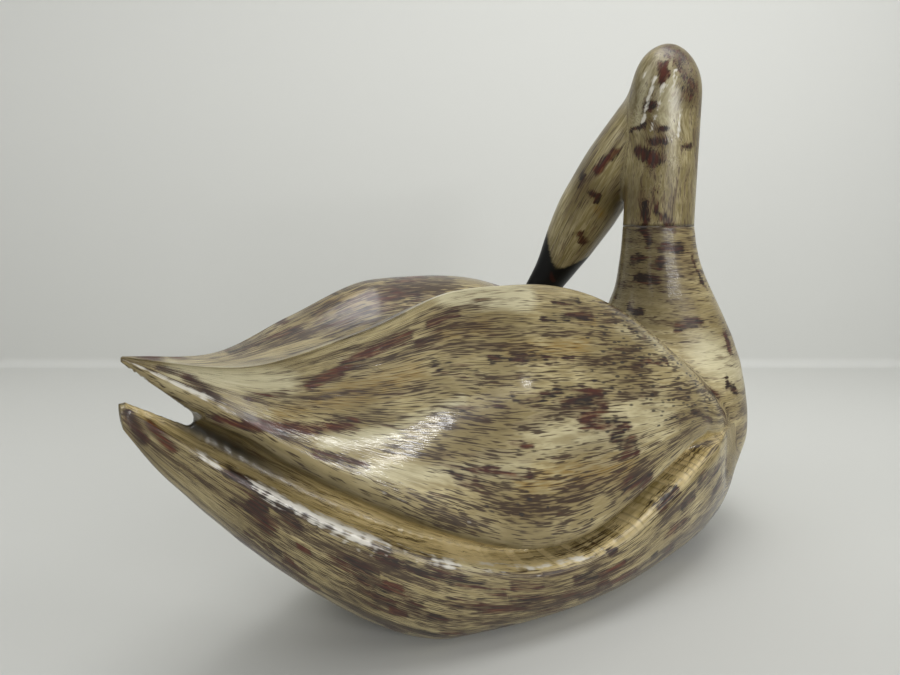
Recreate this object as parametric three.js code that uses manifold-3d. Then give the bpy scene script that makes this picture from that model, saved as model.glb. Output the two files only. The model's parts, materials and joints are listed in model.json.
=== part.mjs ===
// A carved wooden swan with folded wings. Its neck bends over and its bill hangs at its left side.
// Millimetres, +X from tail to breast, +Y to the swan's left, +Z up.
// The origin is the middle of the flat that the swan stands on.
import * as THREE from 'three';
import { mergeVertices } from 'three/addons/utils/BufferGeometryUtils.js';
import Module from 'manifold-3d';

const wasm = await Module();
wasm.setup();

// Driving sizes of the body block
const bodyLength = 428;      // wing tips to breast
const bodyWidth = 166;       // across the hull where it is widest
const wingHeight = 186;      // floor to the top of the folded wings
const channelDepth = 17;     // how far the gouge goes in under each wing
const rimThickness = 9.5;    // blunt lower edge of the wings near the tail
const flankDip = 4;          // how far the rear flanks are carved in between crest and rim
const slotLength = 25;       // how far the channels run into one slot at the tail
const tailReach = 2.4;       // how far the lower tip reaches beyond the wing tips

// Driving sizes of the neck and head block
const seamHeight = 216;      // floor to the glued seam in the neck
const neckRise = 124;        // seam to the top of the bend
const neckWidth = 47;        // across the neck at the seam
const neckDepth = 53;        // along the swan at the seam
const neckPlace = 0.841;     // neck's middle, as a share of the body's length
const headTurn = 100;        // degrees from straight ahead towards the swan's left
const headReach = 118;       // from the neck's middle out to the bill's tip
const headDrop = 196;        // from the top of the bend down to the bill's tip
const headTwist = 45;        // degrees that the face is rolled about the head's own length
const headWidth = 46;        // across the cheeks
const seamGap = 0.3;         // left for the glue

// How finely the round forms are divided
const bodyStations = 50;
const bilgeSteps = 6;
const channelSteps = 7;
const flankSteps = 6;
const valleySteps = 3;
const trunkRows = 22;
const trunkSides = 32;
const neckRows = 14;
const headRows = 20;
const headSides = 22;

// Where the flat underside begins and ends, as shares of the body's length
const flatStart = 0.32;
const flatEnd = 0.785;
const originShare = (flatStart + flatEnd) / 2;

// A smooth curve through [station, value] knots that never swings past them
function profile(knots) {
  const last = knots.length - 1;
  const chord = (i) => (knots[i + 1][1] - knots[i][1]) / (knots[i + 1][0] - knots[i][0]);
  const slope = knots.map((knot, i) => {
    if (i === 0) return chord(0);
    if (i === last) return chord(last - 1);
    const before = knots[i][0] - knots[i - 1][0];
    const after = knots[i + 1][0] - knots[i][0];
    const even = (chord(i - 1) * after + chord(i) * before) / (before + after);
    if (chord(i - 1) * chord(i) <= 0) return 0;
    const limit = 3 * Math.min(Math.abs(chord(i - 1)), Math.abs(chord(i)));
    return Math.sign(even) * Math.min(Math.abs(even), limit);
  });
  return (station) => {
    const s = THREE.MathUtils.clamp(station, knots[0][0], knots[last][0]);
    let i = 0;
    while (i < last - 1 && s > knots[i + 1][0]) i += 1;
    const span = knots[i + 1][0] - knots[i][0];
    const t = (s - knots[i][0]) / span;
    const startWeight = (1 + 2 * t) * (1 - t) * (1 - t);
    const endWeight = t * t * (3 - 2 * t);
    const startSlope = t * (1 - t) * (1 - t) * span;
    const endSlope = t * t * (t - 1) * span;
    return startWeight * knots[i][1] + endWeight * knots[i + 1][1]
      + startSlope * slope[i] + endSlope * slope[i + 1];
  };
}

// Plan of the hull: a pointed tail and a round breast
const widestStation = 0.61;
const tailSharpness = 0.93;
const breastFullness = 2.5;
const hullEnd = 0.988;       // the hull's nose, just inside the breast
function hullHalfWidth(s) {
  const tipShare = 0.02;
  const rear = Math.sin(Math.PI / 2 * Math.min(s / widestStation, 1) ** tailSharpness);
  const ahead = Math.max(s - widestStation, 0) / (hullEnd - widestStation);
  const front = Math.sqrt(Math.max(1 - ahead ** breastFullness, 0));
  return bodyWidth / 2 * Math.max(rear * front, tipShare);
}

// Height of the hull's bottom: it lifts to the tail tip and to the breast
const tailTipHeight = 0.67;
const tailTipRound = 0.042;  // height and length of the rounding under the tip
const breastLift = 0.395;
function keelHeight(s) {
  const behind = Math.max(1 - s / flatStart, 0);
  const tip = Math.max(1 - s / tailTipRound, 0);
  const ahead = Math.max(s - flatEnd, 0) / (1 - flatEnd);
  const lift = tailTipHeight * behind ** 1.5 + tailTipRound * tip ** 2 + breastLift * ahead ** 3;
  return wingHeight * lift;
}

// Heights as shares of the wings' height, along the body's length
const lipHeight = profile([
  [0, 0.755], [0.08, 0.605], [0.18, 0.44], [0.3, 0.292], [0.41, 0.207],
  [0.47, 0.198], [0.53, 0.214], [0.65, 0.312], [0.75, 0.396], [0.82, 0.45], [1, 0.42],
]);
const channelOpening = profile([
  [0, 0.115], [0.1, 0.142], [0.2, 0.138], [0.3, 0.122], [0.5, 0.083], [0.69, 0.083],
  [0.75, 0.068], [0.78, 0.03], [0.8, 0.01], [1, 0.01],
]);
const crestHeight = profile([
  [0, 0.872], [0.1, 0.837], [0.215, 0.905], [0.34, 0.995], [0.42, 1], [0.49, 0.99],
  [0.64, 0.887], [0.745, 0.743], [0.83, 0.6], [0.9, 0.5], [1, 0.43],
]);
const valleyHeight = profile([
  [0, 0.872], [0.1, 0.822], [0.215, 0.84], [0.34, 0.875], [0.5, 0.87],
  [0.65, 0.79], [0.8, 0.62], [0.9, 0.5], [1, 0.43],
]);

// Widths as shares of half the body's width, or of the hull's own half width
const crestWidth = profile([
  [0, 0.01], [0.1, 0.25], [0.215, 0.46], [0.34, 0.52], [0.49, 0.49],
  [0.64, 0.46], [0.765, 0.4], [0.87, 0.3], [1, 0.1],
]);
const rimWidth = profile([[0, 0.95], [0.3, 0.94], [0.59, 0.89], [0.76, 0.9], [0.8, 0.93], [1, 0.92]]);
const lipWidth = profile([[0, 0.985], [0.75, 0.985], [0.85, 0.95], [1, 0.92]]);

// How hollow the wing's flank is: 1 flares out to the rim, 0 bulges like a dome
const flankHollow = profile([
  [0, 0.6], [0.15, 0.95], [0.3, 0.85], [0.42, 0.62], [0.55, 0.38], [0.68, 0.12], [0.8, 0],
]);
const dipShare = profile([[0, 0.3], [0.1, 0.9], [0.3, 1], [0.45, 0.5], [0.6, 0], [1, 0]]);
const gougeShare = profile([[0, 1], [0.69, 1], [0.75, 0.8], [0.795, 0], [1, 0]]);
const rimShare = profile([[0, 1], [0.25, 1], [0.42, 0.8], [0.56, 0.42], [0.7, 0.25], [1, 0.25]]);

// The channel's own section, from the lip at 0 to the rim at 1.
// It is a plain gouge near the tail. From mid length on a bevel lies behind the lip, then a floor.
const bevelShare = profile([[0, 0], [0.35, 0.15], [0.5, 1], [0.68, 1], [0.78, 0.3], [0.8, 0], [1, 0]]);
const bevelledRise = profile([[0, 0], [0.15, 0.26], [0.5, 0.33], [0.8, 0.62], [1, 1]]);
const bevelledDepth = profile([[0, 0], [0.15, 0.28], [0.35, 0.8], [0.55, 1], [0.85, 0.85], [1, 0]]);

// Shares that shape one cross-section
const tailFlat = 0.3;        // flat bottom's share of the half width at both ends
const middleFlat = 0.57;     // and at mid length
const widestShare = 0.66;    // the widest line's height between bottom and lip
const gougeRoundness = 0.6;  // below 1 the channel is more U than V
const webHalf = 1.2;         // half of the least wood left between the two channels
const mostRim = 0.42;        // the rim takes no more of the opening than this
const rimLean = 0.2;         // the blunt edge leans in by this share of its thickness
const dipLow = 0.8;          // below 1 the dip is deepest below the flank's middle
const crestInside = 0.9;     // the crest stays this far inside the rim
const leastFlank = 0.5;      // and at least this much above it

// Half of the body's cross-section, from the middle of the bottom up to the middle of the top
function halfSection(s) {
  const half = hullHalfWidth(s);
  const bottom = keelHeight(s);
  const lip = wingHeight * lipHeight(s);
  const flat = half * (tailFlat + (middleFlat - tailFlat) * Math.sin(Math.PI * s));
  const widest = bottom + widestShare * (lip - bottom);
  const lipHalf = half * lipWidth(s);
  const points = [[0, bottom], [flat, bottom]];
  for (let i = 1; i <= bilgeSteps; i += 1) {
    const a = i / bilgeSteps * Math.PI / 2;
    points.push([flat + (half - flat) * Math.sin(a), widest - (widest - bottom) * Math.cos(a)]);
  }
  points.push([(half + lipHalf) / 2, (widest + lip) / 2]);
  points.push([lipHalf, lip]);
  return [...points, ...channelSection(s, half, lipHalf, lip), ...wingSection(s, half, lip)];
}

// The gouged channel from the lip of the hull up to the blunt rim of the wing
function channelSection(s, half, lipHalf, lip) {
  const opening = wingHeight * channelOpening(s);
  const rim = Math.min(rimThickness * rimShare(s), opening * mostRim);
  const rimHalf = half * rimWidth(s);
  const depth = Math.min(channelDepth * gougeShare(s), half - webHalf);
  const points = [];
  for (let i = 1; i <= channelSteps; i += 1) {
    const q = i / (channelSteps + 1);
    const across = (1 - Math.cos(Math.PI * q)) / 2;
    const rise = THREE.MathUtils.lerp(across, bevelledRise(q), bevelShare(s));
    const plain = Math.sin(Math.PI * q) ** gougeRoundness;
    const share = THREE.MathUtils.lerp(plain, bevelledDepth(q), bevelShare(s));
    const y = THREE.MathUtils.lerp(lipHalf, rimHalf, across) - Math.max(depth, 0) * share;
    points.push([Math.max(y, webHalf), lip + (opening - rim) * rise]);
  }
  points.push([rimHalf - rim * rimLean, lip + opening - rim]);
  return points;
}

// The wing's flank from its rim up to the crest, then half of the valley between the wings
function wingSection(s, half, lip) {
  const rimHalf = half * rimWidth(s);
  const rimHeight = lip + wingHeight * channelOpening(s);
  const crestHalf = Math.min(bodyWidth / 2 * crestWidth(s), rimHalf * crestInside);
  const crest = Math.max(wingHeight * crestHeight(s), rimHeight + leastFlank);
  const valley = Math.min(wingHeight * valleyHeight(s), crest);
  const points = [];
  for (let i = 0; i <= flankSteps; i += 1) {
    const q = i / flankSteps;
    const dome = 1 - Math.cos(q * Math.PI / 2);
    const flare = 1 - (1 - q) ** 3;
    const inward = THREE.MathUtils.lerp(dome, flare, flankHollow(s));
    const dip = Math.min(flankDip * dipShare(s), crestHalf / 2) * Math.sin(Math.PI * q ** dipLow);
    points.push([
      THREE.MathUtils.lerp(rimHalf, crestHalf, inward) - dip,
      THREE.MathUtils.lerp(rimHeight, crest, Math.sin(q * Math.PI / 2)),
    ]);
  }
  for (let i = 1; i <= valleySteps; i += 1) {
    const y = 1 - i / valleySteps;
    points.push([crestHalf * y, valley + (crest - valley) * (1 - Math.cos(Math.PI * y)) / 2]);
  }
  return points;
}

// A closed body through rings of points, each ring with as many points, closed by a fan at both ends
function loft(rings) {
  const count = rings[0].length;
  const positions = rings.flat(2);
  const mean = (ring, k) => ring.reduce((sum, point) => sum + point[k], 0) / count;
  const middle = (ring) => [0, 1, 2].map((k) => mean(ring, k));
  positions.push(...middle(rings[0]), ...middle(rings[rings.length - 1]));
  const startMiddle = rings.length * count;
  const index = [];
  for (let j = 0; j < count; j += 1) {
    const next = (j + 1) % count;
    for (let i = 0; i + 1 < rings.length; i += 1) {
      const a = i * count + j;
      const b = i * count + next;
      index.push(a, b, b + count, a, b + count, a + count);
    }
    const end = (rings.length - 1) * count;
    index.push(startMiddle, next, j, startMiddle + 1, end + j, end + next);
  }
  const geometry = new THREE.BufferGeometry();
  geometry.setAttribute('position', new THREE.Float32BufferAttribute(positions, 3));
  geometry.setIndex(index);
  return geometry;
}

// A solid for cutting and joining, from a closed geometry
function solidOf(geometry) {
  const plain = geometry.clone();
  plain.deleteAttribute('normal');
  plain.deleteAttribute('uv');
  const merged = mergeVertices(plain, 1e-4);
  const mesh = new wasm.Mesh({
    numProp: 3,
    vertProperties: new Float32Array(merged.attributes.position.array),
    triVerts: new Uint32Array(merged.index.array),
  });
  return new wasm.Manifold(mesh);
}

function geometryOf(solid) {
  const mesh = solid.getMesh();
  const geometry = new THREE.BufferGeometry();
  geometry.setAttribute('position', new THREE.BufferAttribute(mesh.vertProperties, 3));
  geometry.setIndex(new THREE.BufferAttribute(mesh.triVerts, 1));
  geometry.computeVertexNormals();
  return geometry;
}

// Hull and wings, lofted from tail to breast with closer stations at both ends
const closerEnds = 0.75;     // 0 would space the stations evenly
const reachShare = 0.05;     // the lower tip's reach fades out over this share of the length
function carvedHull() {
  const rings = [];
  for (let i = 0; i <= bodyStations; i += 1) {
    const even = i / bodyStations;
    const s = hullEnd * (even - closerEnds * Math.sin(2 * Math.PI * even) / (2 * Math.PI));
    const lip = wingHeight * lipHeight(s);
    const reach = tailReach * Math.max(1 - s / reachShare, 0) ** 2;
    const place = (z) => bodyLength * (s - originShare) - (z > lip ? 0 : reach);
    const half = halfSection(s);
    const left = half.map(([y, z]) => [place(z), y, z]);
    const right = half.slice(1, -1).reverse().map(([y, z]) => [place(z), -y, z]);
    rings.push([...left, ...right]);
  }
  return loft(rings);
}

// Through slot where both channels meet at the tail: a wedge that narrows to a round end at the web
const slotLow = [0.1, 0.32];  // lower edge at the tail and at the web, as shares of the channel's opening
const slotHigh = [0.88, 0.64];
const slotSteps = 6;
const slotBeyond = 10;        // the cutter starts this far behind the tail
function tailSlot() {
  const edge = (t, level) => {
    const s = t * slotLength / bodyLength;
    const up = lipHeight(s) + channelOpening(s) * THREE.MathUtils.lerp(level[0], level[1], t);
    return [bodyLength * (s - originShare), wingHeight * up];
  };
  const [startX, lowStart] = edge(0, slotLow);
  const [endX, lowEnd] = edge(1, slotLow);
  const highEnd = edge(1, slotHigh)[1];
  const radius = (highEnd - lowEnd) / 2;
  const outline = new THREE.Shape();
  outline.moveTo(startX - slotBeyond, lowStart);
  for (let i = 0; i <= slotSteps; i += 1) outline.lineTo(...edge(i / slotSteps, slotLow));
  for (let i = 1; i < slotSteps; i += 1) {
    const a = Math.PI * (i / slotSteps - 1 / 2);
    outline.lineTo(endX + radius * Math.cos(a), (lowEnd + highEnd) / 2 + radius * Math.sin(a));
  }
  for (let i = slotSteps; i >= 0; i -= 1) outline.lineTo(...edge(i / slotSteps, slotHigh));
  outline.lineTo(startX - slotBeyond, edge(0, slotHigh)[1]);
  const prism = new THREE.ExtrudeGeometry(outline, { depth: bodyWidth, bevelEnabled: false });
  prism.rotateX(Math.PI / 2);
  prism.translate(0, bodyWidth / 2, 0);
  return prism;
}

// Breast and neck stump by height: shares of the seam's height, the body's length and half its width
const neckFront = neckPlace + neckDepth / 2 / bodyLength;
const neckBack = neckPlace - neckDepth / 2 / bodyLength;
const trunkStart = 0.2;      // inside the hull
const breastFront = profile([
  [0.2, 0.955], [0.29, 0.993], [0.39, 1], [0.485, 1],
  [0.64, 0.99], [0.777, 0.951], [0.893, 0.917], [1, neckFront],
]);
const breastBack = profile([
  [0.2, 0.7], [0.29, 0.65], [0.485, 0.677],
  [0.64, 0.739], [0.777, 0.772], [0.893, 0.778], [1, neckBack],
]);
const breastHalfWidth = profile([
  [0.2, 0.8], [0.29, 0.86], [0.39, 0.835], [0.485, 0.767],
  [0.64, 0.56], [0.777, 0.405], [0.893, 0.32], [1, neckWidth / bodyWidth],
]);

function ellipseRing(centre, halfLength, halfWidth, z, sides) {
  const ring = [];
  for (let i = 0; i < sides; i += 1) {
    const a = i / sides * 2 * Math.PI;
    ring.push([centre + halfLength * Math.cos(a), halfWidth * Math.sin(a), z]);
  }
  return ring;
}

function breastAndStump() {
  const rings = [];
  const top = seamHeight - seamGap / 2;
  for (let i = 0; i <= trunkRows; i += 1) {
    const h = THREE.MathUtils.lerp(trunkStart, 1, i / trunkRows);
    const front = bodyLength * (breastFront(h) - originShare);
    const back = bodyLength * (breastBack(h) - originShare);
    const half = bodyWidth / 2 * breastHalfWidth(h);
    rings.push(ellipseRing((front + back) / 2, (front - back) / 2, half, h * top, trunkSides));
  }
  return loft(rings);
}

// The upper neck: nearly straight, with a round top where it bends over
const neckX = bodyLength * (neckPlace - originShare);
const domeStart = 0.72;      // share of the rise where the round top begins
const domeEnd = 0.08;        // the top ring's size as a share of the neck's
const closerTop = 1.5;       // above 1 the rows lie closer towards the top
function upperNeck() {
  const rings = [];
  const bottom = seamHeight + seamGap / 2;
  const rise = neckRise - seamGap / 2;
  for (let i = 0; i <= neckRows; i += 1) {
    const h = 1 - (1 - i / neckRows) ** closerTop;
    const cap = Math.max(h - domeStart, 0) / (1 - domeStart);
    const share = Math.max(Math.sqrt(1 - cap * cap), domeEnd);
    const [deep, wide] = [neckDepth / 2 * share, neckWidth / 2 * share];
    rings.push(ellipseRing(neckX, deep, wide, bottom + rise * h, trunkSides));
  }
  return loft(rings);
}

// The hanging head: its middle line runs out and down from inside the bend to the bill's tip
const headOut = profile([
  [0, 0], [0.12, 0.04], [0.27, 0.125], [0.43, 0.31], [0.64, 0.56], [0.83, 0.765], [1, 1],
]);
const headDown = profile([
  [0, 0.13], [0.12, 0.14], [0.27, 0.24], [0.43, 0.4], [0.64, 0.625], [0.83, 0.82], [1, 1],
]);
const headHalf = profile([
  [0, 0.7], [0.12, 0.75], [0.27, 0.82], [0.43, 0.97], [0.57, 1],
  [0.7, 0.88], [0.83, 0.66], [0.95, 0.48], [1, 0.3],
]);
const headThickness = profile([[0, 1.25], [0.3, 1.25], [0.57, 1.05], [0.83, 0.75], [1, 0.5]]);

const turn = THREE.MathUtils.degToRad(headTurn);
const out = new THREE.Vector3(Math.cos(turn), Math.sin(turn), 0);
const side = new THREE.Vector3(-Math.sin(turn), Math.cos(turn), 0);
function headMiddle(q) {
  const height = seamHeight + neckRise - headDrop * headDown(q);
  return new THREE.Vector3(neckX, 0, height).addScaledVector(out, headReach * headOut(q));
}

const alongStep = 0.01;      // share of the middle line that its direction is measured over
function headRing(q) {
  const before = headMiddle(Math.max(q - alongStep, 0));
  const along = headMiddle(Math.min(q + alongStep, 1)).sub(before).normalize();
  const across = side.clone().applyAxisAngle(along, THREE.MathUtils.degToRad(headTwist));
  const away = new THREE.Vector3().crossVectors(along, across).normalize();
  const half = headWidth / 2 * headHalf(q);
  const thick = half * headThickness(q);
  const ring = [];
  for (let i = 0; i < headSides; i += 1) {
    const a = i / headSides * 2 * Math.PI;
    const point = headMiddle(q).addScaledVector(across, half * Math.cos(a));
    ring.push(point.addScaledVector(away, thick * Math.sin(a)).toArray());
  }
  return ring;
}

function hangingHead() {
  const rings = [];
  for (let i = 0; i <= headRows; i += 1) rings.push(headRing(i / headRows));
  return loft(rings);
}

const paint = { roughness: 0.5, metalness: 0 };
const body = new THREE.Mesh(
  geometryOf(solidOf(carvedHull()).subtract(solidOf(tailSlot())).add(solidOf(breastAndStump()))),
  new THREE.MeshStandardMaterial({ color: 0xb5ac8c, ...paint }),
);
body.name = 'body';

const neckAndHead = new THREE.Mesh(
  geometryOf(solidOf(upperNeck()).add(solidOf(hangingHead()))),
  new THREE.MeshStandardMaterial({ color: 0xa89c78, ...paint }),
);
neckAndHead.name = 'neck_and_head';

const swan = new THREE.Group();
swan.add(body, neckAndHead);
export default swan;
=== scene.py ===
# %% [markdown]
# # A carved wooden swan
# The real thing is two blocks of light wood: one for the hull, the folded wings and the stump of the
# neck, and a second with upright grain for the upper neck and the hanging head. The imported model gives
# both blocks as plain faceted solids. Here each one gets a fine skin of the same form, tool marks and a
# rubbed paint finish.

import json
import math

import bpy
import numpy as np
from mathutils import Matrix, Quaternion, Vector, noise
from mathutils.bvhtree import BVHTree

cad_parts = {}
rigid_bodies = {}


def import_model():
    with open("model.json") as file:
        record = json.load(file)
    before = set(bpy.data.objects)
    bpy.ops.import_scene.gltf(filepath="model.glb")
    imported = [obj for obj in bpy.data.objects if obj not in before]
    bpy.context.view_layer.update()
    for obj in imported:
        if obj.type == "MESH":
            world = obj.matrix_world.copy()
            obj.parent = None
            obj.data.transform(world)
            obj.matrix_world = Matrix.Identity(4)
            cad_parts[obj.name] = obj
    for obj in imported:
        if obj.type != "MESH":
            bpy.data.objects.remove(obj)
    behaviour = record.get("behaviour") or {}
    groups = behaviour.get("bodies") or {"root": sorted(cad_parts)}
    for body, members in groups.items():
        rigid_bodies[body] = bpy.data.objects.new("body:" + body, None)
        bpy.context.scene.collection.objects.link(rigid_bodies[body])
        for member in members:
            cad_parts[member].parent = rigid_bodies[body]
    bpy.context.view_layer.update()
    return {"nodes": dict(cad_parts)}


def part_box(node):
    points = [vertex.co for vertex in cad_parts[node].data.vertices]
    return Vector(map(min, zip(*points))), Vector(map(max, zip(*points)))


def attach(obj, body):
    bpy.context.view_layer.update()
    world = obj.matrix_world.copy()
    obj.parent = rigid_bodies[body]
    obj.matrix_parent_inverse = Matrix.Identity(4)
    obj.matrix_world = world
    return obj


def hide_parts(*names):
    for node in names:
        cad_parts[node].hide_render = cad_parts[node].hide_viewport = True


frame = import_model()
MM = 0.001

body_low, body_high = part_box("body")
head_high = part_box("neck_and_head")[1]
print("nodes:", sorted(frame["nodes"]))

# %% [markdown]
# ## Sizes
# The lengths below are the same driving sizes as the solids have, in metres. Those that a box shows are
# read from the frame, so that the skin follows the solid. The shapes along the body are shares of these
# sizes.

# %% Driving sizes
SEAM_GAP = 0.3 * MM
BODY_WIDTH = body_high.y - body_low.y
SEAM_HEIGHT = body_high.z + SEAM_GAP / 2
NECK_RISE = head_high.z - SEAM_HEIGHT
WING_HEIGHT = 186 * MM
CHANNEL_DEPTH = 17 * MM
RIM_THICKNESS = 9.5 * MM
FLANK_DIP = 4 * MM
SLOT_LENGTH = 25 * MM
TAIL_REACH = 2.4 * MM
BODY_LENGTH = body_high.x - body_low.x - TAIL_REACH
NECK_WIDTH = 47 * MM
NECK_DEPTH = 53 * MM
NECK_PLACE = 0.841
HEAD_TURN = math.radians(100)
HEAD_TWIST = math.radians(45)
HEAD_REACH = 118 * MM
HEAD_DROP = 196 * MM
HEAD_WIDTH = 46 * MM
FLAT_START = 0.32
FLAT_END = 0.785
ORIGIN_SHARE = (FLAT_START + FLAT_END) / 2
print("body", round(BODY_LENGTH, 4), "by", round(BODY_WIDTH, 4), "seam at", round(SEAM_HEIGHT, 4))

# %% [markdown]
# ## A curve through a few knots
# A carver draws the side view and the plan on the block before cutting. Each of those lines is a short
# list of knots here, with a smooth curve through them that never swings past a knot.


# %% A smooth curve through knots
def profile(knots):
    """A smooth curve through (station, value) knots, as a function of the station."""
    x = np.array([k[0] for k in knots], float)
    y = np.array([k[1] for k in knots], float)
    span = np.diff(x)
    chord = np.diff(y) / span
    slope = np.empty(len(x))
    slope[0], slope[-1] = chord[0], chord[-1]
    even = (chord[:-1] * span[1:] + chord[1:] * span[:-1]) / (span[:-1] + span[1:])
    limit = 3 * np.minimum(abs(chord[:-1]), abs(chord[1:]))
    turns = chord[:-1] * chord[1:] <= 0
    slope[1:-1] = np.where(turns, 0, np.sign(even) * np.minimum(abs(even), limit))

    def value(station):
        s = np.clip(station, x[0], x[-1])
        i = np.clip(np.searchsorted(x, s, side="right") - 1, 0, len(span) - 1)
        t = (s - x[i]) / span[i]
        ends = (1 + 2 * t) * (1 - t) ** 2 * y[i] + t * t * (3 - 2 * t) * y[i + 1]
        return ends + span[i] * (t * (1 - t) ** 2 * slope[i] + t * t * (t - 1) * slope[i + 1])

    return value


print("a curve from 0 to 1, halfway:", profile([(0, 0), (1, 1)])(0.5))


# %% Soft steps and blends
def smoothstep(low, high, value):
    """0 below low, 1 above high and a soft step between them."""
    t = np.clip((value - low) / (high - low), 0, 1)
    return t * t * (3 - 2 * t)


def lerp(a, b, t):
    """From a at t = 0 to b at t = 1."""
    return a + (b - a) * t


print("a soft step, a quarter of the way up:", smoothstep(0, 1, 0.25))

# %% [markdown]
# ## The plan and the bottom of the hull
# The hull is a boat: pointed at the tail, widest a little ahead of the middle and round at the breast. It
# could be one more knotted curve, but sine and ellipse have just this shape and can't get a dent.
# Stations run from 0 at the tail tip to 1 at the breast.

# %% Plan and bottom of the hull
HULL_END = 0.988
WIDEST_STATION = 0.61


def hull_half_width(s):
    """Half of the hull's plan: a pointed tail and a round breast."""
    tail_sharpness, breast_fullness, tip_share = 0.93, 2.5, 0.02
    rear = np.sin(np.pi / 2 * np.minimum(s / WIDEST_STATION, 1) ** tail_sharpness)
    ahead = np.maximum(s - WIDEST_STATION, 0) / (HULL_END - WIDEST_STATION)
    front = np.sqrt(np.maximum(1 - ahead**breast_fullness, 0))
    return BODY_WIDTH / 2 * np.maximum(rear * front, tip_share)


def keel_height(s):
    """The bottom: flat in the middle, it lifts to the tail tip and to the breast."""
    tail_tip_height, tail_tip_round, breast_lift = 0.67, 0.042, 0.395
    behind = np.maximum(1 - s / FLAT_START, 0)
    tip = np.maximum(1 - s / tail_tip_round, 0)
    ahead = np.maximum(s - FLAT_END, 0) / (1 - FLAT_END)
    tail_lift = tail_tip_height * behind**1.5 + tail_tip_round * tip**2
    return WING_HEIGHT * (tail_lift + breast_lift * ahead**3)


print("half width in the middle:", round(float(hull_half_width(0.5)), 4))

# %% [markdown]
# ## The lines of the wings
# In the side view four lines run from tail to breast: the lip below the channel, the rim above it, the
# crest of the wing and the valley between the wings. Heights are shares of the wings' height, and widths
# are shares of half the body's width or of the hull's own half width. Knots were moved until the outline
# met the real one.

# %% Heights of lip, rim, crest and valley
lip_height = profile([
    (0, 0.755), (0.08, 0.605), (0.18, 0.44), (0.3, 0.292), (0.41, 0.207),
    (0.47, 0.198), (0.53, 0.214), (0.65, 0.312), (0.75, 0.396), (0.82, 0.45), (1, 0.42),
])
channel_opening = profile([
    (0, 0.115), (0.1, 0.142), (0.2, 0.138), (0.3, 0.122), (0.5, 0.083), (0.69, 0.083),
    (0.75, 0.068), (0.78, 0.03), (0.8, 0.01), (1, 0.01),
])
crest_height = profile([
    (0, 0.872), (0.1, 0.837), (0.215, 0.905), (0.34, 0.995), (0.42, 1), (0.49, 0.99),
    (0.64, 0.887), (0.745, 0.743), (0.83, 0.6), (0.9, 0.5), (1, 0.43),
])
valley_height = profile([
    (0, 0.872), (0.1, 0.822), (0.215, 0.84), (0.34, 0.875), (0.5, 0.87),
    (0.65, 0.79), (0.8, 0.62), (0.9, 0.5), (1, 0.43),
])
highest = max(np.linspace(0, 1, 101), key=crest_height)
print("the wings are highest at station", round(float(highest), 2))

# %% Widths of lip, rim and crest
crest_width = profile([
    (0, 0.01), (0.1, 0.25), (0.215, 0.46), (0.34, 0.52), (0.49, 0.49),
    (0.64, 0.46), (0.765, 0.4), (0.87, 0.3), (1, 0.1),
])
rim_width = profile([(0, 0.95), (0.3, 0.94), (0.59, 0.89), (0.76, 0.9), (0.8, 0.93), (1, 0.92)])
lip_width = profile([(0, 0.985), (0.75, 0.985), (0.85, 0.95), (1, 0.92)])
print("crest is out by", round(BODY_WIDTH / 2 * float(crest_width(highest)), 4))

# %% [markdown]
# ## How the carving changes along the body
# The flank is hollow and flares out to a thin rim at the rear, and is full at the front. The channel is a
# round U at the rear and has a bevelled floor at the front. Each such change is a share that follows the
# station, so that one recipe for a section gives all of them.

# %% Flank, rim and channel along the body
flank_hollow = profile([
    (0, 0.6), (0.15, 0.95), (0.3, 0.85), (0.42, 0.62), (0.55, 0.38), (0.68, 0.12), (0.8, 0),
])
dip_share = profile([(0, 0.3), (0.1, 0.9), (0.3, 1), (0.45, 0.5), (0.6, 0), (1, 0)])
gouge_share = profile([(0, 1), (0.69, 1), (0.75, 0.8), (0.795, 0), (1, 0)])
rim_share = profile([(0, 1), (0.25, 1), (0.42, 0.8), (0.56, 0.42), (0.7, 0.25), (1, 0.25)])
bevel_share = profile([(0, 0), (0.35, 0.15), (0.5, 1), (0.68, 1), (0.78, 0.3), (0.8, 0), (1, 0)])
bevelled_rise = profile([(0, 0), (0.15, 0.26), (0.5, 0.33), (0.8, 0.62), (1, 1)])
bevelled_depth = profile([(0, 0), (0.15, 0.28), (0.35, 0.8), (0.55, 1), (0.85, 0.85), (1, 0)])
print("bevel at mid body:", round(float(bevel_share(0.5)), 2))

# %% [markdown]
# ## Gouge marks
# The channel was cut with a curved gouge, one bite after the other, and the bites still show across its
# floor. They could be a bump in the paint, but in low light they cast real shadows, so they are in the
# mesh. A fixed seed makes every bite a little different in depth and place.

# %% Gouge marks along the channel
GOUGE_SPACING = 5 * MM
GOUGE_RELIEF = 2.4 * MM
rng = np.random.default_rng(7)
gouge_bite = rng.uniform(0.35, 1.0, 200)
gouge_shift = rng.uniform(-0.25, 0.25, 200)


def gouge_scoop(s):
    """Number of the gouge cut at a station, and how deep in it: 0 at its border, 1 in its middle."""
    u = s * BODY_LENGTH / GOUGE_SPACING
    cell = np.floor(u).astype(int)
    along = u - cell + gouge_shift[cell] * np.sin(np.pi * (u - cell))
    return cell, 1 - (2 * along - 1) ** 2


def gouge_marks(s):
    """Depth of the crosswise gouge marks along the channel, deeper towards the breast."""
    rear_share, marks_grow, marks_end = 0.2, (0.3, 0.5), (0.72, 0.79)
    cell, scoop = gouge_scoop(s)
    grows = rear_share + (1 - rear_share) * smoothstep(*marks_grow, s)
    return GOUGE_RELIEF * gouge_bite[cell] * scoop * grows * (1 - smoothstep(*marks_end, s))


deepest = max(float(gouge_marks(s)) for s in np.linspace(0.3, 0.7, 200))
print("deepest gouge mark, mm:", round(deepest / MM, 2))

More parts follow.
